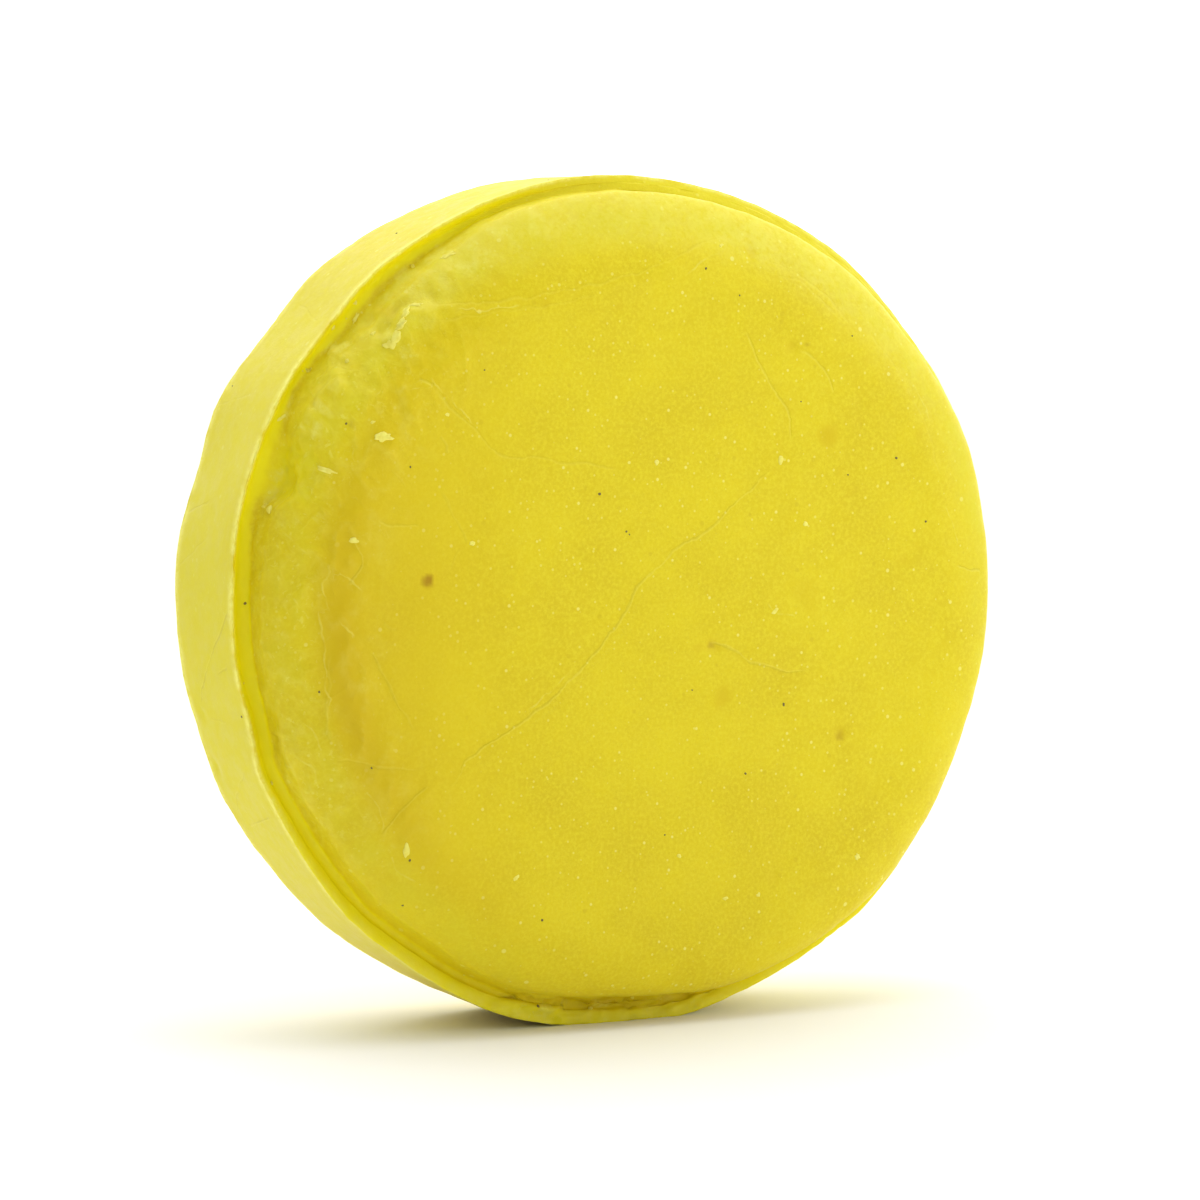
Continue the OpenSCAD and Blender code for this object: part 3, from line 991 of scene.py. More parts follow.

# pale, dry soap on torn edges and on wrinkles' tops; on the lip's crest partly dry soap and partly painted highlight
low_lip = IS_FRONT * ease(TH % 360, 196, 214) * (1 - ease(TH % 360, 304, 322))
crest = np.maximum(ease(Q + 0.25 * low_lip, 4.40, 4.80) * ~IS_BELT, IS_BELT * (1 - ease(to_rim, 0.02, 0.085)))
PALE_AND_HIGHLIGHT = 0.85 * crest * ease(fbm(RING, 1.6, 311, 3), -0.8, 0.2)
PALE_AND_HIGHLIGHT = PALE_AND_HIGHLIGHT * (1 - 0.75 * near_angle(TH, 313, 20) * (~IS_BACK)) * (1 - 0.80 * low_lip)
PALE_AND_HIGHLIGHT = np.maximum(PALE_AND_HIGHLIGHT, TORN * low * 0.5 * ease(chips, 0.18, 0.40))
PALE_AND_HIGHLIGHT = np.maximum(PALE_AND_HIGHLIGHT, CHIPPED * ease(Q, 2.9, 3.2) * 0.35 * ease(chips, 0.15, 0.4))
blotch = fbm(P, 1.5, 331, 3)
PALE_AND_HIGHLIGHT = np.maximum(PALE_AND_HIGHLIGHT, WRINKLED * (Q < 2.9) * (0.12 * ease(blotch, 0.35, 0.8) + 0.10 * ease(ridge, 0.86, 0.99)))
# painted highlight: the top-left shoulder paler, where it is strongly lit
TOP_LEFT_HIGHLIGHT = IS_FRONT * near_angle(TH, 118, 24) * ease(RR, 25.2, 27.2) * (1 - ease(Q, 2.7, 3.0))
PALE_AND_HIGHLIGHT = np.maximum(PALE_AND_HIGHLIGHT, 0.42 * TOP_LEFT_HIGHLIGHT * (0.35 + 0.65 * ease(fbm(P, 1.3, 333, 3), -0.4, 0.5)))
# painted highlight: the shoulder is paler at the top, where light from above falls
TOP_HIGHLIGHT = IS_FRONT * near_angle(TH, 72, 44) * ease(RR, 23.8, 26.8) * (1 - ease(Q, 2.75, 3.0))
PALE_AND_HIGHLIGHT = np.maximum(PALE_AND_HIGHLIGHT, 0.34 * TOP_HIGHLIGHT * (0.7 + 0.3 * ease(fbm(P, 2.2, 335, 3), -0.4, 0.5)))
# matt, slightly paler skin round the shoulder, most at the upper left, as on the belt; partly real, partly painted
# sheen, strongest where the shoulder is lit and faintest at the foot
# the right side, where the lip is smoothed down, has no sheltered groove
open_side = 1 - 0.75 * np.maximum(1 - ease(TH % 360, 95, 115), ease(TH % 360, 318, 335))
inner = 24.0 + 1.6 * near_angle(TH, 0, 80)
SKIN_AND_SHEEN = IS_FRONT * ease(RR, inner, inner + 2.3) * (1 - ease(Q, 2.75, 3.05))
SKIN_AND_SHEEN = SKIN_AND_SHEEN * around(
    TH, [(0, 1.10), (40, 1.05), (75, 1.0), (108, 1.15), (128, 1.35), (152, 1.05), (200, 1.0), (235, 0.75), (262, 0.10), (312, 0.08), (340, 0.35)]
)
SKIN_AND_SHEEN = SKIN_AND_SHEEN * (0.50 + 0.50 * ease(fbm(P * (1, 1, 0.75), 1.9, 341, 4), -0.40, 0.45))
# painted sheen: paler along the right rim, where the light is strongest
RIM_SHEEN = IS_FRONT * ease(Q, 2.9, 3.2) * (1 - open_side) / 0.75
SKIN_AND_SHEEN = np.maximum(SKIN_AND_SHEEN, 0.9 * RIM_SHEEN)
SKIN_B = IS_BACK * ease(RR, 24.5, 26.8) * (1 - ease(Q, 2.75, 3.05)) * 0.5 * ease(fbm(P, 9, 343, 2), -0.4, 0.5)
SKIN_AND_SHEEN = np.maximum(SKIN_AND_SHEEN, SKIN_B)
# painted shade: the groove and the hollow tinted a saturated yellow, the colour the soap takes in its own shade
torn_foot = 0.38 * ease(TH % 360, 112, 126) * (1 - ease(TH % 360, 164, 178)) + 0.10 * fbm(P, 1.3, 361, 3)
GROOVE_SHADE_TINT = ease(Q - torn_foot, 2.85, 3.15) * (1 - ease(Q - 0.6 * low_lip, 4.35, 4.75)) * (~IS_BELT) * np.where(IS_FRONT, open_side, 1.0)
GROOVE_SHADE_TINT = np.maximum(GROOVE_SHADE_TINT, 0.80 * bite)
GROOVE_SHADE_TINT = GROOVE_SHADE_TINT * (1 - 0.5 * PALE_AND_HIGHLIGHT)


def give(o, name, values):
    a = o.data.attributes.new(name, "FLOAT", "POINT")
    a.data.foreach_set("value", np.asarray(values, np.float32))


puck = mesh_object("soap_puck_body", BODY, FACES)
give(puck, "hair_d0", np.clip(hair_d[0], -1, 1))
give(puck, "hair_w0", hair_w[0])
give(puck, "hair_d1", np.clip(hair_d[1], -1, 1))
give(puck, "hair_w1", hair_w[1])
give(puck, "thread_d", np.clip(thread_d, -1, 1))
give(puck, "thread_w", thread_w)
# belt tint, plus paler shoulder skin that is partly painted sheen
give(puck, "belt", np.maximum(W_BELT * (1 - 0.45 * near_angle(TH, 120, 36)), 0.66 * SKIN_AND_SHEEN))
# amber: real spots, plus painted shade on the left, under the raised face and at the foot
give(puck, "amber_and_shade", AMBER_AND_SHADE)
# brown: real dark spots, plus painted shade on the left
give(puck, "brown_and_shade", BROWN_AND_SHADE)
# pale: dry soap, plus painted highlight on the lip's crest and the upper shoulder
give(puck, "pale", PALE_AND_HIGHLIGHT)
# deep: painted shade colour for the groove and the hollow
give(puck, "deep", GROOVE_SHADE_TINT)
give(puck, "wrinkle", np.clip(np.maximum(1.0 * WRINKLED * (Q < 3.0), np.maximum(0.8 * TORN * low, 0.9 * CHIPPED * ease(Q, 2.3, 2.8))), 0, 1))

# ---------------------------------------------------------------- flakes, crumbs and specks

FRONT_IDS = np.nonzero(IS_FRONT)[0]
BODY_N = vertex_normals(BODY, FACES)


def surface_at(x, z, among=FRONT_IDS):
    """Point and normal of the finished surface above (x, z), measured from the axis."""
    b = BODY[among]
    k = among[np.argmin((b[:, 0] - x) ** 2 + (b[:, 2] - AXIS_Z - z) ** 2 - 1e-3 * np.abs(b[:, 1]))]
    return BODY[k], BODY_N[k]


def frame_at(n, turn):
    up = np.array([0, 0, 1.0]) if abs(n[2]) < 0.9 else np.array([1.0, 0, 0])
    u = np.cross(up, n)
    u /= np.linalg.norm(u)
    v = np.cross(n, u)
    c, s = math.cos(turn), math.sin(turn)
    return c * u + s * v, -s * u + c * v


def lump(at, n, long, wide, high, turn, seed, sink=0.35, rough=0.22, tilt=0.0):
    """A small irregular closed flake lying on the surface."""
    rng = np.random.RandomState(seed)
    u, v = frame_at(n, math.radians(turn))
    n = n + tilt * u
    n /= np.linalg.norm(n)
    m, rings = 22, 5
    k = np.arange(m)
    wob = np.zeros(m)
    for h in range(2, 7):
        wob += rng.normal() / h**0.7 * np.cos(h * 2 * math.pi * k / m + rng.rand() * 6.3)
    wob = 1 + rough * wob
    pts, fcs = [], []
    for i in range(rings + 1):
        a = math.pi * (i + 0.5) / (rings + 1)
        ring_r, hgt = math.sin(a) ** 0.6, math.cos(a)
        for j in range(m):
            t = 2 * math.pi * j / m
            w = ring_r * wob[j]
            jig = 0.08 * rng.normal() * high
            pts.append(
                at
                + u * (long / 2 * w * math.cos(t))
                + v * (wide / 2 * w * math.sin(t))
                + n * (high / 2 * hgt + high * (0.5 - sink) + jig)
            )
    top, bot = len(pts), len(pts) + 1
    pts.append(at + n * (high / 2 * 1.02 + high * (0.5 - sink)))
    pts.append(at + n * (-high / 2 * 1.02 + high * (0.5 - sink)))
    for i in range(rings):
        for j in range(m):
            a, b = i * m + j, i * m + (j + 1) % m
            fcs.append((a, a + m, b + m, b))
    for j in range(m):
        fcs.append((top, j, (j + 1) % m))
        fcs.append((bot, rings * m + (j + 1) % m, rings * m + j))
    return np.array(pts), fcs


def gather(name, lumps):
    pts, fcs, base = [], [], 0
    for p, f in lumps:
        pts.append(p)
        fcs += [tuple(i + base for i in g) for g in f]
        base += len(p)
    return mesh_object(name, np.vstack(pts), fcs)


flake_list = []
# x, z, long, wide, high, turn, tilt
for k, (x, z, lo_, wi, hi_, turn, tilt) in enumerate(
    [
        (-20.5, 11.9, 1.35, 0.60, 0.16, 8, 0.1),
        (-20.9, 12.9, 0.30, 0.22, 0.10, 20, 0),
        (-14.3, 24.2, 1.05, 0.42, 0.14, 38, 0),
        (-24.2, 9.6, 1.35, 0.34, 0.16, -18, 0.1),
        (-22.5, 4.9, 0.75, 0.36, 0.10, 4, 0),
        (-18.7, -16.1, 0.50, 0.92, 0.10, 6, 0),
        (10.3, 9.9, 0.40, 0.66, 0.09, -8, 0),
        (-27.3, 7.0, 0.42, 0.62, 0.18, 10, 0),
        (-26.0, 13.1, 0.80, 0.26, 0.14, 30, 0),
        (-13.9, 4.6, 0.42, 0.34, 0.10, 0, 0),
        (0.3, 9.8, 0.34, 0.40, 0.08, 0, 0),
        (12.4, 5.3, 0.40, 0.34, 0.08, 0, 0),
        (16.6, -18.7, 0.42, 0.46, 0.09, 0, 0),
        (-22.2, 19.2, 0.36, 0.26, 0.14, 50, 0),
        (-22.0, 17.0, 0.30, 0.34, 0.14, 0, 0),
        (5.9, 24.9, 0.40, 0.20, 0.08, 30, 0),
        (9.9, -0.8, 0.60, 0.30, 0.06, 30, 0),
        (-15.6, 13.3, 0.32, 0.24, 0.07, 0, 0),
        (2.2, -17.8, 0.36, 0.28, 0.08, 0, 0),
        (5.9, -21.0, 0.42, 0.26, 0.08, 10, 0),
        (8.4, -20.9, 0.34, 0.26, 0.08, 20, 0),
        (-10.6, -18.6, 0.50, 0.30, 0.07, 40, 0),
    ]
):
    at, n = surface_at(x, z)
    flake_list.append(lump(at, n, lo_, wi, hi_, turn, 400 + k, 0.45, 0.24, tilt))
# the torn sliver standing up at the end of the fold
for k, (x, z, lo_, wi, hi_, turn) in enumerate(
    [
        (-19.45, 18.10, 0.90, 0.62, 0.24, 20),
        (-18.95, 18.75, 1.00, 0.60, 0.30, 62),
        (-18.45, 19.45, 0.95, 0.52, 0.32, 40),
        (-18.05, 20.15, 0.85, 0.46, 0.28, 80),
        (-17.30, 20.65, 1.00, 0.34, 0.20, 8),
        (-20.5, 19.9, 0.90, 0.24, 0.16, 66),
        (-20.2, 18.8, 0.50, 0.20, 0.14, 50),
        (-20.6, 20.9, 0.30, 0.22, 0.12, 30),
    ]
):
    at, n = surface_at(x, z)
    flake_list.append(lump(at, n, lo_, wi, hi_, turn, 440 + k, 0.50, 0.36, 0.25))
flakes_obj = gather("soap_flakes", flake_list)

# crumbs of soap lying in the groove and on torn edges
rng = np.random.RandomState(23)
crumb_list = []
GROOVE_IDS = np.nonzero(IS_FRONT & (Q > 2.6) & (Q < 4.1))[0]
GROOVE_BACK = np.nonzero(IS_BACK & (Q > 2.6) & (Q < 4.1))[0]
for k in range(30):
    if k < 14:
        a = rng.choice([rng.uniform(118, 172), rng.uniform(180, 250), rng.uniform(250, 284)], p=[0.55, 0.15, 0.3])
        pool = GROOVE_IDS
    else:
        a = rng.uniform(0, 360)
        pool = GROOVE_BACK
    sel = pool[np.abs((TH[pool] - a + 180) % 360 - 180) < 0.6]
    if not len(sel):
        continue
    i = sel[rng.randint(len(sel))]
    size = 0.14 + 0.34 * rng.rand() ** 2
    crumb_list.append(
        lump(BODY[i], BODY_N[i], size, size * (0.5 + 0.4 * rng.rand()), size * (0.4 + 0.3 * rng.rand()), rng.rand() * 360, 500 + k, 0.4, 0.2)
    )
crumbs_obj = gather("soap_crumbs", crumb_list)

# dark specks pressed into the soap
speck_list = []
for k, (x, z, d_) in enumerate(
    [
        (-4.2, 7.8, 0.24), (-2.0, 5.1, 0.20), (-1.7, 4.9, 0.12), (10.6, -7.4, 0.24),
        (7.5, -12.1, 0.20), (-18.5, -20.2, 0.16), (-8.7, -21.6, 0.20), (-24.8, -5.2, 0.18),
        (19.9, 9.8, 0.22), (22.6, 5.3, 0.20), (4.3, 23.4, 0.20), (-18.3, -16.9, 0.20),
        (6.9, 21.6, 0.14), (15.9, 8.9, 0.14), (16.2, 18.8, 0.14), (-22.6, 12.8, 0.18),
        (-18.5, 9.9, 0.16), (-6.9, -28.2, 0.24), (-28.75, 0.7, 0.24), (1.0, -16.3, 0.14),
        (12.0, 13.9, 0.12), (-21.2, -10.4, 0.16), (3.1, -6.2, 0.12), (-13.0, 16.4, 0.12),
    ]
):
    at, n = surface_at(x, z)
    speck_list.append(lump(at, n, d_, d_ * 0.85, 0.10, k * 40, 600 + k, 0.62, 0.15))
BELT_IDS = np.nonzero(IS_BELT)[0]
BACK_IDS = np.nonzero(IS_BACK & (Q < 2))[0]
for k, (a, s_, d_) in enumerate(
    [(193.5, 4.2, 0.22), (120.8, 0.1, 0.16), (149.8, -3.8, 0.14), (20, 1.0, 0.2), (66, -2.2, 0.16), (334, 2.4, 0.18), (100, 3.0, 0.12)]
):
    u = ((TH[BELT_IDS] - a + 180) % 360 - 180) * math.pi / 180 * 30
    i = BELT_IDS[np.argmin(u**2 + (SS[BELT_IDS] - s_) ** 2)]
    speck_list.append(lump(BODY[i], BODY_N[i], d_, d_ * 0.85, 0.10, k * 50, 640 + k, 0.62, 0.15))
for k in range(14):
    a, rr_ = rng.rand() * 6.283, 25.5 * math.sqrt(rng.rand())
    at, n = surface_at(rr_ * math.cos(a), rr_ * math.sin(a), BACK_IDS)
    d_ = 0.12 + 0.12 * rng.rand()
    speck_list.append(lump(at, n, d_, d_ * 0.85, 0.10, k * 50, 660 + k, 0.62, 0.15))
specks_obj = gather("dark_specks", speck_list)

# ---------------------------------------------------------------- materials


class Graph:
    """Small helper for building node graphs."""

    def __init__(self, name):
        self.mat = bpy.data.materials.new(name)
        self.mat.use_nodes = True
        self.t = self.mat.node_tree
        self.out = self.t.nodes["Material Output"]
        self.shader = self.t.nodes["Principled BSDF"]

    def link(self, value, socket):
        if isinstance(value, bpy.types.NodeSocket):
            self.t.links.new(value, socket)
        else:
            socket.default_value = value

    def node(self, kind, **props):
        n = self.t.nodes.new(kind)
        for k, v in props.items():
            setattr(n, k, v)
        return n

    def math(self, op, a, b=None, c=None, clamp=False):
        n = self.node("ShaderNodeMath", operation=op, use_clamp=clamp)
        self.link(a, n.inputs[0])
        if b is not None:
            self.link(b, n.inputs[1])
        if c is not None:
            self.link(c, n.inputs[2])
        return n.outputs[0]

    def remap(self, v, a, b, lo=0.0, hi=1.0, smooth=True):
        n = self.node("ShaderNodeMapRange", interpolation_type="SMOOTHSTEP" if smooth else "LINEAR")
        self.link(v, n.inputs["Value"])
        n.inputs["From Min"].default_value = a
        n.inputs["From Max"].default_value = b
        n.inputs["To Min"].default_value = lo
        n.inputs["To Max"].default_value = hi
        return n.outputs["Result"]

    def mix(self, f, a, b, blend="MIX"):
        n = self.node("ShaderNodeMix", data_type="RGBA", blend_type=blend)
        self.link(f, n.inputs[0])
        self.link(a, n.inputs[6])
        self.link(b, n.inputs[7])
        return n.outputs[2]

    def coords(self, shift=(0, 0, 0)):
        """Object coordinates in millimetres."""
        if not hasattr(self, "_co"):
            self._co = self.node("ShaderNodeTexCoord").outputs["Object"]
        n = self.node("ShaderNodeVectorMath", operation="MULTIPLY_ADD")
        self.link(self._co, n.inputs[0])
        n.inputs[1].default_value = (1000, 1000, 1000)
        n.inputs[2].default_value = shift
        return n.outputs[0]

    def noise(self, size, detail=2.0, rough=0.5, shift=(0, 0, 0), distortion=0.0):
        """Noise with features of about this size in millimetres, 0 to 1."""
        n = self.node("ShaderNodeTexNoise")
        self.link(self.coords(shift), n.inputs["Vector"])
        n.inputs["Scale"].default_value = 1.0 / size
        n.inputs["Detail"].default_value = detail
        n.inputs["Roughness"].default_value = rough
        n.inputs["Distortion"].default_value = distortion
        return n.outputs["Fac"]

    def dots(self, spacing, radius, share, shift=(0, 0, 0)):
        """Round specks: 1 inside, for this share of the cells."""
        n = self.node("ShaderNodeTexVoronoi", feature="F1")
        self.link(self.coords(shift), n.inputs["Vector"])
        n.inputs["Scale"].default_value = 1.0 / spacing
        sep = self.node("ShaderNodeSeparateColor")
        self.link(n.outputs["Color"], sep.inputs[0])
        size = self.remap(sep.outputs[1], 0, 1, 0.45 * radius / spacing, radius / spacing, False)
        inside = self.math("SUBTRACT", size, n.outputs["Distance"])
        inside = self.remap(inside, -0.15 * radius / spacing, 0.25 * radius / spacing)
        chosen = self.math("LESS_THAN", sep.outputs[0], share)
        return self.math("MULTIPLY", inside, chosen)

    def attr(self, name):
        n = self.node("ShaderNodeAttribute", attribute_type="GEOMETRY", attribute_name=name)
        return n.outputs["Fac"]


def rgb(r, g, b):
    return (r, g, b, 1.0)


def soap_material(name, pale=0.0, masks=True):
    g = Graph(name)
    # slow marbling of the milled soap
    big = g.noise(8.0, 2.0, 0.5, (3, 0, 7))
    mid = g.noise(2.6, 3.0, 0.6, (0, 5, 1), 0.6)
    tone = g.math("ADD", g.math("MULTIPLY", big, 0.68), g.math("MULTIPLY", mid, 0.32))
    tone = g.remap(tone, 0.30, 0.70)
    colour = g.mix(tone, rgb(0.735, 0.577, 0.003), rgb(0.806, 0.663, 0.005))
    # sandy grain
    grain = g.noise(0.26, 2.0, 0.7, (1, 2, 3))
    colour = g.mix(g.remap(grain, 0.35, 0.75, 0.0, 0.7), colour, rgb(0.85, 0.735, 0.022))
    fine = g.noise(0.13, 2.0, 0.7, (9, 4, 2))
    colour = g.mix(g.remap(fine, 0.52, 0.72, 0.0, 0.22), colour, rgb(0.60, 0.45, 0.001))
    # pale, amber and rare dark flecks
    pale_dots = g.dots(1.05, 0.20, 0.36, (4, 4, 4))
    pale_small = g.dots(0.52, 0.12, 0.36, (14, 2, 9))
    amber_dots = g.dots(1.30, 0.20, 0.20, (8, 1, 5))
    colour = g.mix(g.math("MULTIPLY", pale_dots, 0.75), colour, rgb(0.93, 0.86, 0.19))
    colour = g.mix(g.math("MULTIPLY", pale_small, 0.50), colour, rgb(0.92, 0.86, 0.17))
    colour = g.mix(g.math("MULTIPLY", amber_dots, 0.35), colour, rgb(0.66, 0.49, 0.001))
    height = g.math("MULTIPLY", g.math("SUBTRACT", grain, 0.5), 0.014)
    height = g.math("ADD", height, g.math("MULTIPLY", g.math("SUBTRACT", fine, 0.5), 0.012))
    height = g.math("ADD", height, g.math("MULTIPLY", mid, 0.016))
    height = g.math("ADD", height, g.math("MULTIPLY", pale_dots, 0.008))
    rough = g.remap(g.noise(1.1, 3.0, 0.6, (2, 2, 8)), 0.3, 0.7, 0.44, 0.58)
    if masks:
        # hairlines: zero of the signed distance, broken up along their length
        wob = g.math("MULTIPLY", g.math("SUBTRACT", g.noise(0.45, 3.0, 0.6, (5, 5, 0)), 0.5), 0.16)
        thick = g.remap(g.noise(1.6, 2.0, 0.5, (0, 8, 3)), 0.35, 0.65, 0.035, 0.085)
        # fine folds and flaking where the skin is wrinkled or torn
        wrinkle = g.attr("wrinkle")
        fold = g.noise(2.3, 3.0, 0.55, (4, 1, 6), 0.8)
        fold = g.math("ABSOLUTE", g.math("SUBTRACT", fold, 0.5))
        fold_top = g.math("MULTIPLY", g.remap(fold, 0.0, 0.07, 1.0, 0.0), wrinkle)
        fold_low = g.math("MULTIPLY", g.remap(fold, 0.10, 0.24), wrinkle)
        height = g.math("ADD", height, g.math("MULTIPLY", fold_top, 0.010))
        scuff = g.remap(g.noise(0.60, 4.0, 0.68, (2, 8, 1), 0.4), 0.58, 0.68)
        scuff = g.math("MULTIPLY", scuff, wrinkle)
        height = g.math("ADD", height, g.math("MULTIPLY", scuff, 0.010))
        total = None
        for k in (0, 1):
            d = g.math("ABSOLUTE", g.math("ADD", g.attr(f"hair_d{k}"), wob))
            inside = g.math("SUBTRACT", thick, d)
            line = g.remap(inside, -0.035, 0.03)
            line = g.math("MULTIPLY", line, g.attr(f"hair_w{k}"))
            total = line if total is None else g.math("MAXIMUM", total, line)
        broken = g.remap(g.noise(2.2, 2.0, 0.5, (7, 0, 2)), 0.34, 0.52, 0.25, 1.0)
        line = g.math("MULTIPLY", total, broken)
        amber_and_shade = g.attr("amber_and_shade")
        brown_and_shade = g.attr("brown_and_shade")
        dry_and_highlight = g.attr("pale")
        deep = g.attr("deep")
        # painted shade: saturated yellow in the groove and the hollow
        colour = g.mix(g.math("MULTIPLY", deep, 0.90), colour, rgb(0.93, 0.835, 0.001))
        # belt tint, and shoulder skin that is partly painted sheen
        colour = g.mix(g.math("MULTIPLY", g.attr("belt"), 0.8), colour, rgb(0.755, 0.678, 0.016))
        colour = g.mix(g.math("MULTIPLY", fold_low, 0.16), colour, rgb(0.80, 0.655, 0.002))
        colour = g.mix(g.math("MULTIPLY", fold_top, 0.14), colour, rgb(0.93, 0.86, 0.09))
        colour = g.mix(g.math("MULTIPLY", scuff, 0.42), colour, rgb(0.94, 0.88, 0.13))
        # amber spots, and painted shade on the left, under the raised face and at the foot
        colour = g.mix(amber_and_shade, colour, rgb(0.735, 0.555, 0.0005))
        # dark spots, and painted shade on the left
        colour = g.mix(brown_and_shade, colour, rgb(0.47, 0.27, 0.0005))
        # dry soap, and painted highlight on the crest and the upper shoulder
        dry_noise = g.remap(g.noise(0.5, 3.0, 0.7, (6, 6, 6)), 0.30, 0.60, 0.35, 1.0)
        colour = g.mix(g.math("MULTIPLY", dry_and_highlight, dry_noise), colour, rgb(0.94, 0.895, 0.20))
        # painted highlight: a pale line along one edge of each crack and crease
        crack_highlight = None
        for k in (0, 1):
            d = g.math("ADD", g.math("ADD", g.attr(f"hair_d{k}"), wob), 0.10)
            inside = g.math("SUBTRACT", thick, g.math("ABSOLUTE", d))
            e = g.math("MULTIPLY", g.remap(inside, -0.05, 0.03), g.attr(f"hair_w{k}"))
            crack_highlight = e if crack_highlight is None else g.math("MAXIMUM", crack_highlight, e)
        colour = g.mix(g.math("MULTIPLY", crack_highlight, 0.30), colour, rgb(0.90, 0.82, 0.12))
        colour = g.mix(g.math("MULTIPLY", line, 0.34), colour, rgb(0.52, 0.41, 0.002))
        td = g.math("ABSOLUTE", g.math("ADD", g.attr("thread_d"), g.math("MULTIPLY", wob, 1.3)))
        thread = g.remap(g.math("SUBTRACT", g.math("MULTIPLY", thick, 0.7), td), -0.05, 0.03)
        thread = g.math("MULTIPLY", thread, g.attr("thread_w"))
        thread = g.math("MULTIPLY", thread, g.remap(g.noise(1.1, 2.0, 0.6, (1, 7, 5)), 0.38, 0.60, 0.15, 1.0))
        colour = g.mix(g.math("MULTIPLY", thread, 0.32), colour, rgb(0.90, 0.83, 0.14))
        height = g.math("ADD", height, g.math("MULTIPLY", thread, 0.020))
        height = g.math("SUBTRACT", height, g.math("MULTIPLY", line, 0.026))
        rough = g.math("ADD", rough, g.math("MULTIPLY", dry_and_highlight, 0.12))
    if pale:
        veil = g.remap(g.noise(0.4, 2.0, 0.6, (3, 9, 1)), 0.3, 0.7, pale * 0.7, min(1.0, pale * 1.2))
        colour = g.mix(veil, colour, rgb(0.96, 0.90, 0.19))
    b = g.shader
    g.link(colour, b.inputs["Base Color"])
    g.link(rough, b.inputs["Roughness"])
    bump_node = g.node("ShaderNodeBump")
    bump_node.inputs["Strength"].default_value = 1.0
    bump_node.inputs["Distance"].default_value = MM
    g.link(height, bump_node.inputs["Height"])
    g.link(bump_node.outputs[0], b.inputs["Normal"])
    b.inputs["IOR"].default_value = 1.45
    b.inputs["Specular IOR Level"].default_value = 0.31
    if masks:
        b.inputs["Subsurface Weight"].default_value = 0.25
        b.inputs["Subsurface Radius"].default_value = (1.0, 0.80, 0.35)
        b.inputs["Subsurface Scale"].default_value = 0.0004
    return g.mat


def speck_material():
    g = Graph("dark_speck")
    n = g.noise(0.12, 2.0, 0.6)
    colour = g.mix(n, rgb(0.10, 0.075, 0.012), rgb(0.24, 0.18, 0.03))
    g.link(colour, g.shader.inputs["Base Color"])
    g.link(g.remap(n, 0.3, 0.7, 0.45, 0.7), g.shader.inputs["Roughness"])
    bn = g.node("ShaderNodeBump")
    bn.inputs["Distance"].default_value = MM
    g.link(g.math("MULTIPLY", n, 0.01), bn.inputs["Height"])
    g.link(bn.outputs[0], g.shader.inputs["Normal"])
    return g.mat


puck.data.materials.append(soap_material("milled_soap"))
flakes_obj.data.materials.append(soap_material("dry_soap_flake", pale=0.8, masks=False))
crumbs_obj.data.materials.append(soap_material("soap_crumb", pale=0.55, masks=False))
specks_obj.data.materials.append(speck_material())

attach(puck, "root")
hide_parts("soap_puck")
for o in (flakes_obj, crumbs_obj, specks_obj):
    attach(o, "root")

# ---------------------------------------------------------------- stage

floor_me = bpy.data.meshes.new("floor")
floor_me.from_pydata([(-6, -6, 0), (6, -6, 0), (6, 6, 0), (-6, 6, 0)], [], [(0, 1, 2, 3)])
floor = bpy.data.objects.new("floor", floor_me)
bpy.context.scene.collection.objects.link(floor)
fm = bpy.data.materials.new("floor")
fm.use_nodes = True
fb = fm.node_tree.nodes["Principled BSDF"]
fb.inputs["Base Color"].default_value = (0.94, 0.935, 0.91, 1)
fb.inputs["Roughness"].default_value = 0.9
floor_me.materials.append(fm)


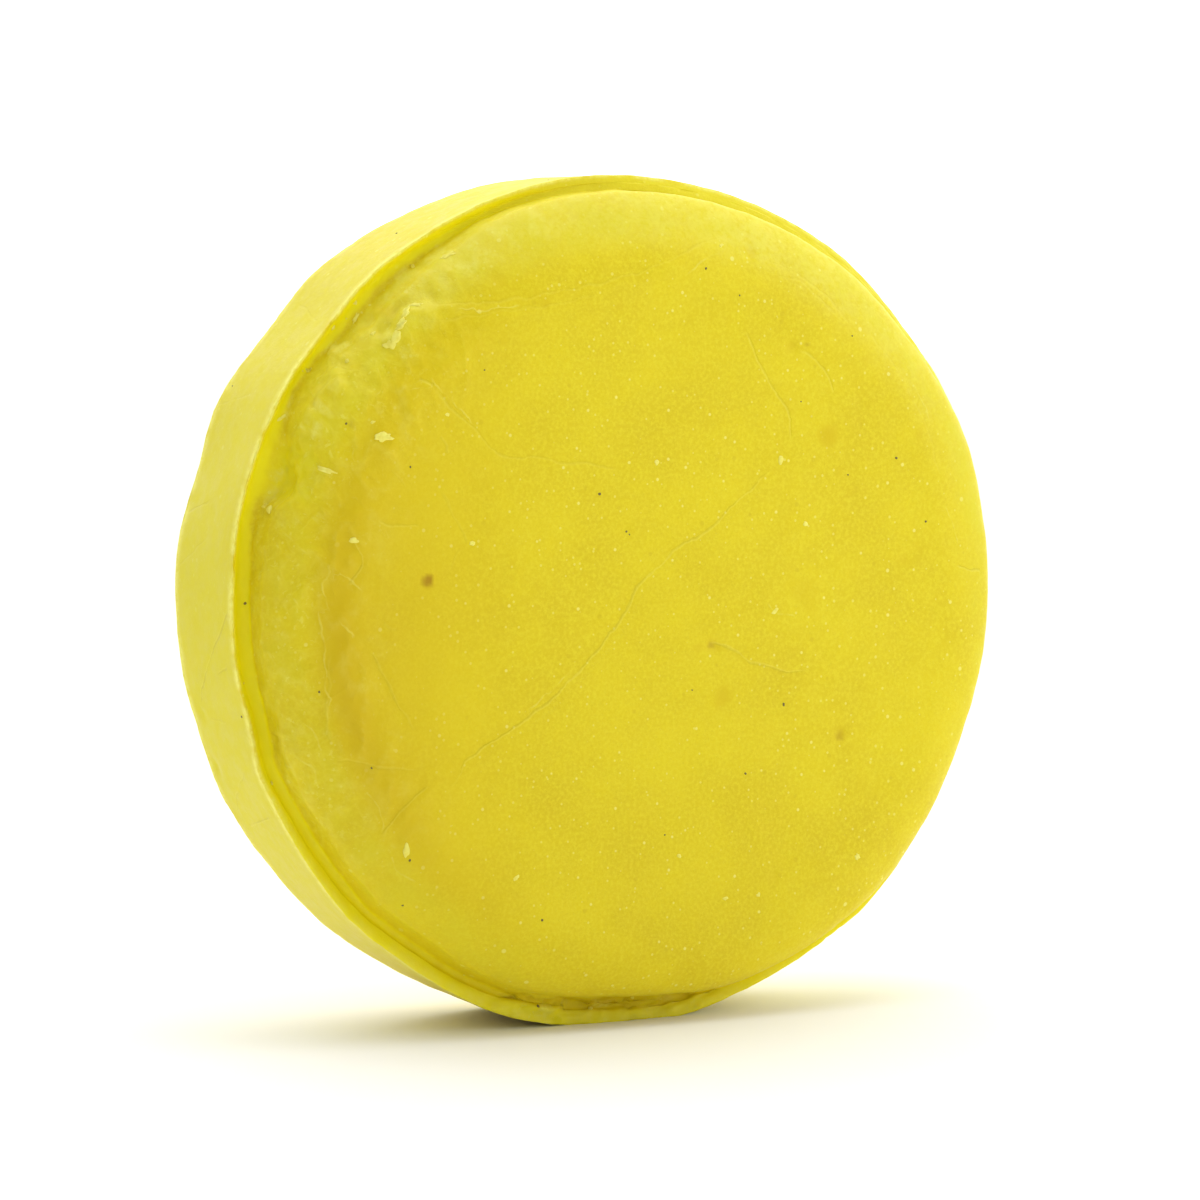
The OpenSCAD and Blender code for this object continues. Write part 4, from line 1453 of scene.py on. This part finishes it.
def make_world(base, lobes):
    """A white studio: a base level plus soft lobes of light, (direction, edge, strength)."""
    world = bpy.data.worlds.new("studio")
    bpy.context.scene.world = world
    world.use_nodes = True
    t = world.node_tree
    bg = t.nodes["Background"]
    co = t.nodes.new("ShaderNodeTexCoord")
    total = None
    for direction, edge, strength in lobes:
        d = Vector(direction).normalized()
        dot = t.nodes.new("ShaderNodeVectorMath")
        dot.operation = "DOT_PRODUCT"
        t.links.new(co.outputs["Generated"], dot.inputs[0])
        dot.inputs[1].default_value = d
        m = t.nodes.new("ShaderNodeMapRange")
        m.interpolation_type = "SMOOTHSTEP"
        t.links.new(dot.outputs["Value"], m.inputs["Value"])
        m.inputs["From Min"].default_value = edge
        m.inputs["From Max"].default_value = 1.0
        m.inputs["To Min"].default_value = 0.0
        m.inputs["To Max"].default_value = strength
        if total is None:
            total = m.outputs["Result"]
        else:
            add = t.nodes.new("ShaderNodeMath")
            add.operation = "ADD"
            t.links.new(total, add.inputs[0])
            t.links.new(m.outputs["Result"], add.inputs[1])
            total = add.outputs[0]
    add = t.nodes.new("ShaderNodeMath")
    add.operation = "ADD"
    t.links.new(total, add.inputs[0])
    add.inputs[1].default_value = base
    t.links.new(add.outputs[0], bg.inputs["Strength"])
    bg.inputs["Color"].default_value = (1, 1, 1, 1)
    return world


def softbox(name, at, towards, size, power):
    data = bpy.data.lights.new(name, "AREA")
    data.shape = "SQUARE"
    data.size = size
    data.energy = power
    o = bpy.data.objects.new(name, data)
    bpy.context.scene.collection.objects.link(o)
    o.location = at
    o.rotation_euler = (Vector(towards) - Vector(at)).to_track_quat("-Z", "Y").to_euler()
    o.visible_camera = False
    return o


make_world(
    0.12,
    [
        ((-0.12, 0.32, 1.0), 0.7, 1.36),  # overhead
        ((-0.6, -0.1, 1.0), 0.5, 0.53),  # overhead and left
        ((0.3, 0.95, 0.1), 0.2, 1.60),  # behind
        ((1.0, -0.1, 0.35), 0.3, 0.90),  # right
    ],
)
softbox("softbox_right", (0.15, -0.115, 0.095), (0.01, 0, 0.035), 0.16, 0.070)
softbox("softbox_front", (0.04, -0.21, 0.09), (0, 0, 0.03), 0.12, 0.016)
softbox("softbox_top", (0.02, -0.035, 0.235), (0, 0, 0.04), 0.12, 0.106)
bpy.context.scene.view_settings.view_transform = "Standard"
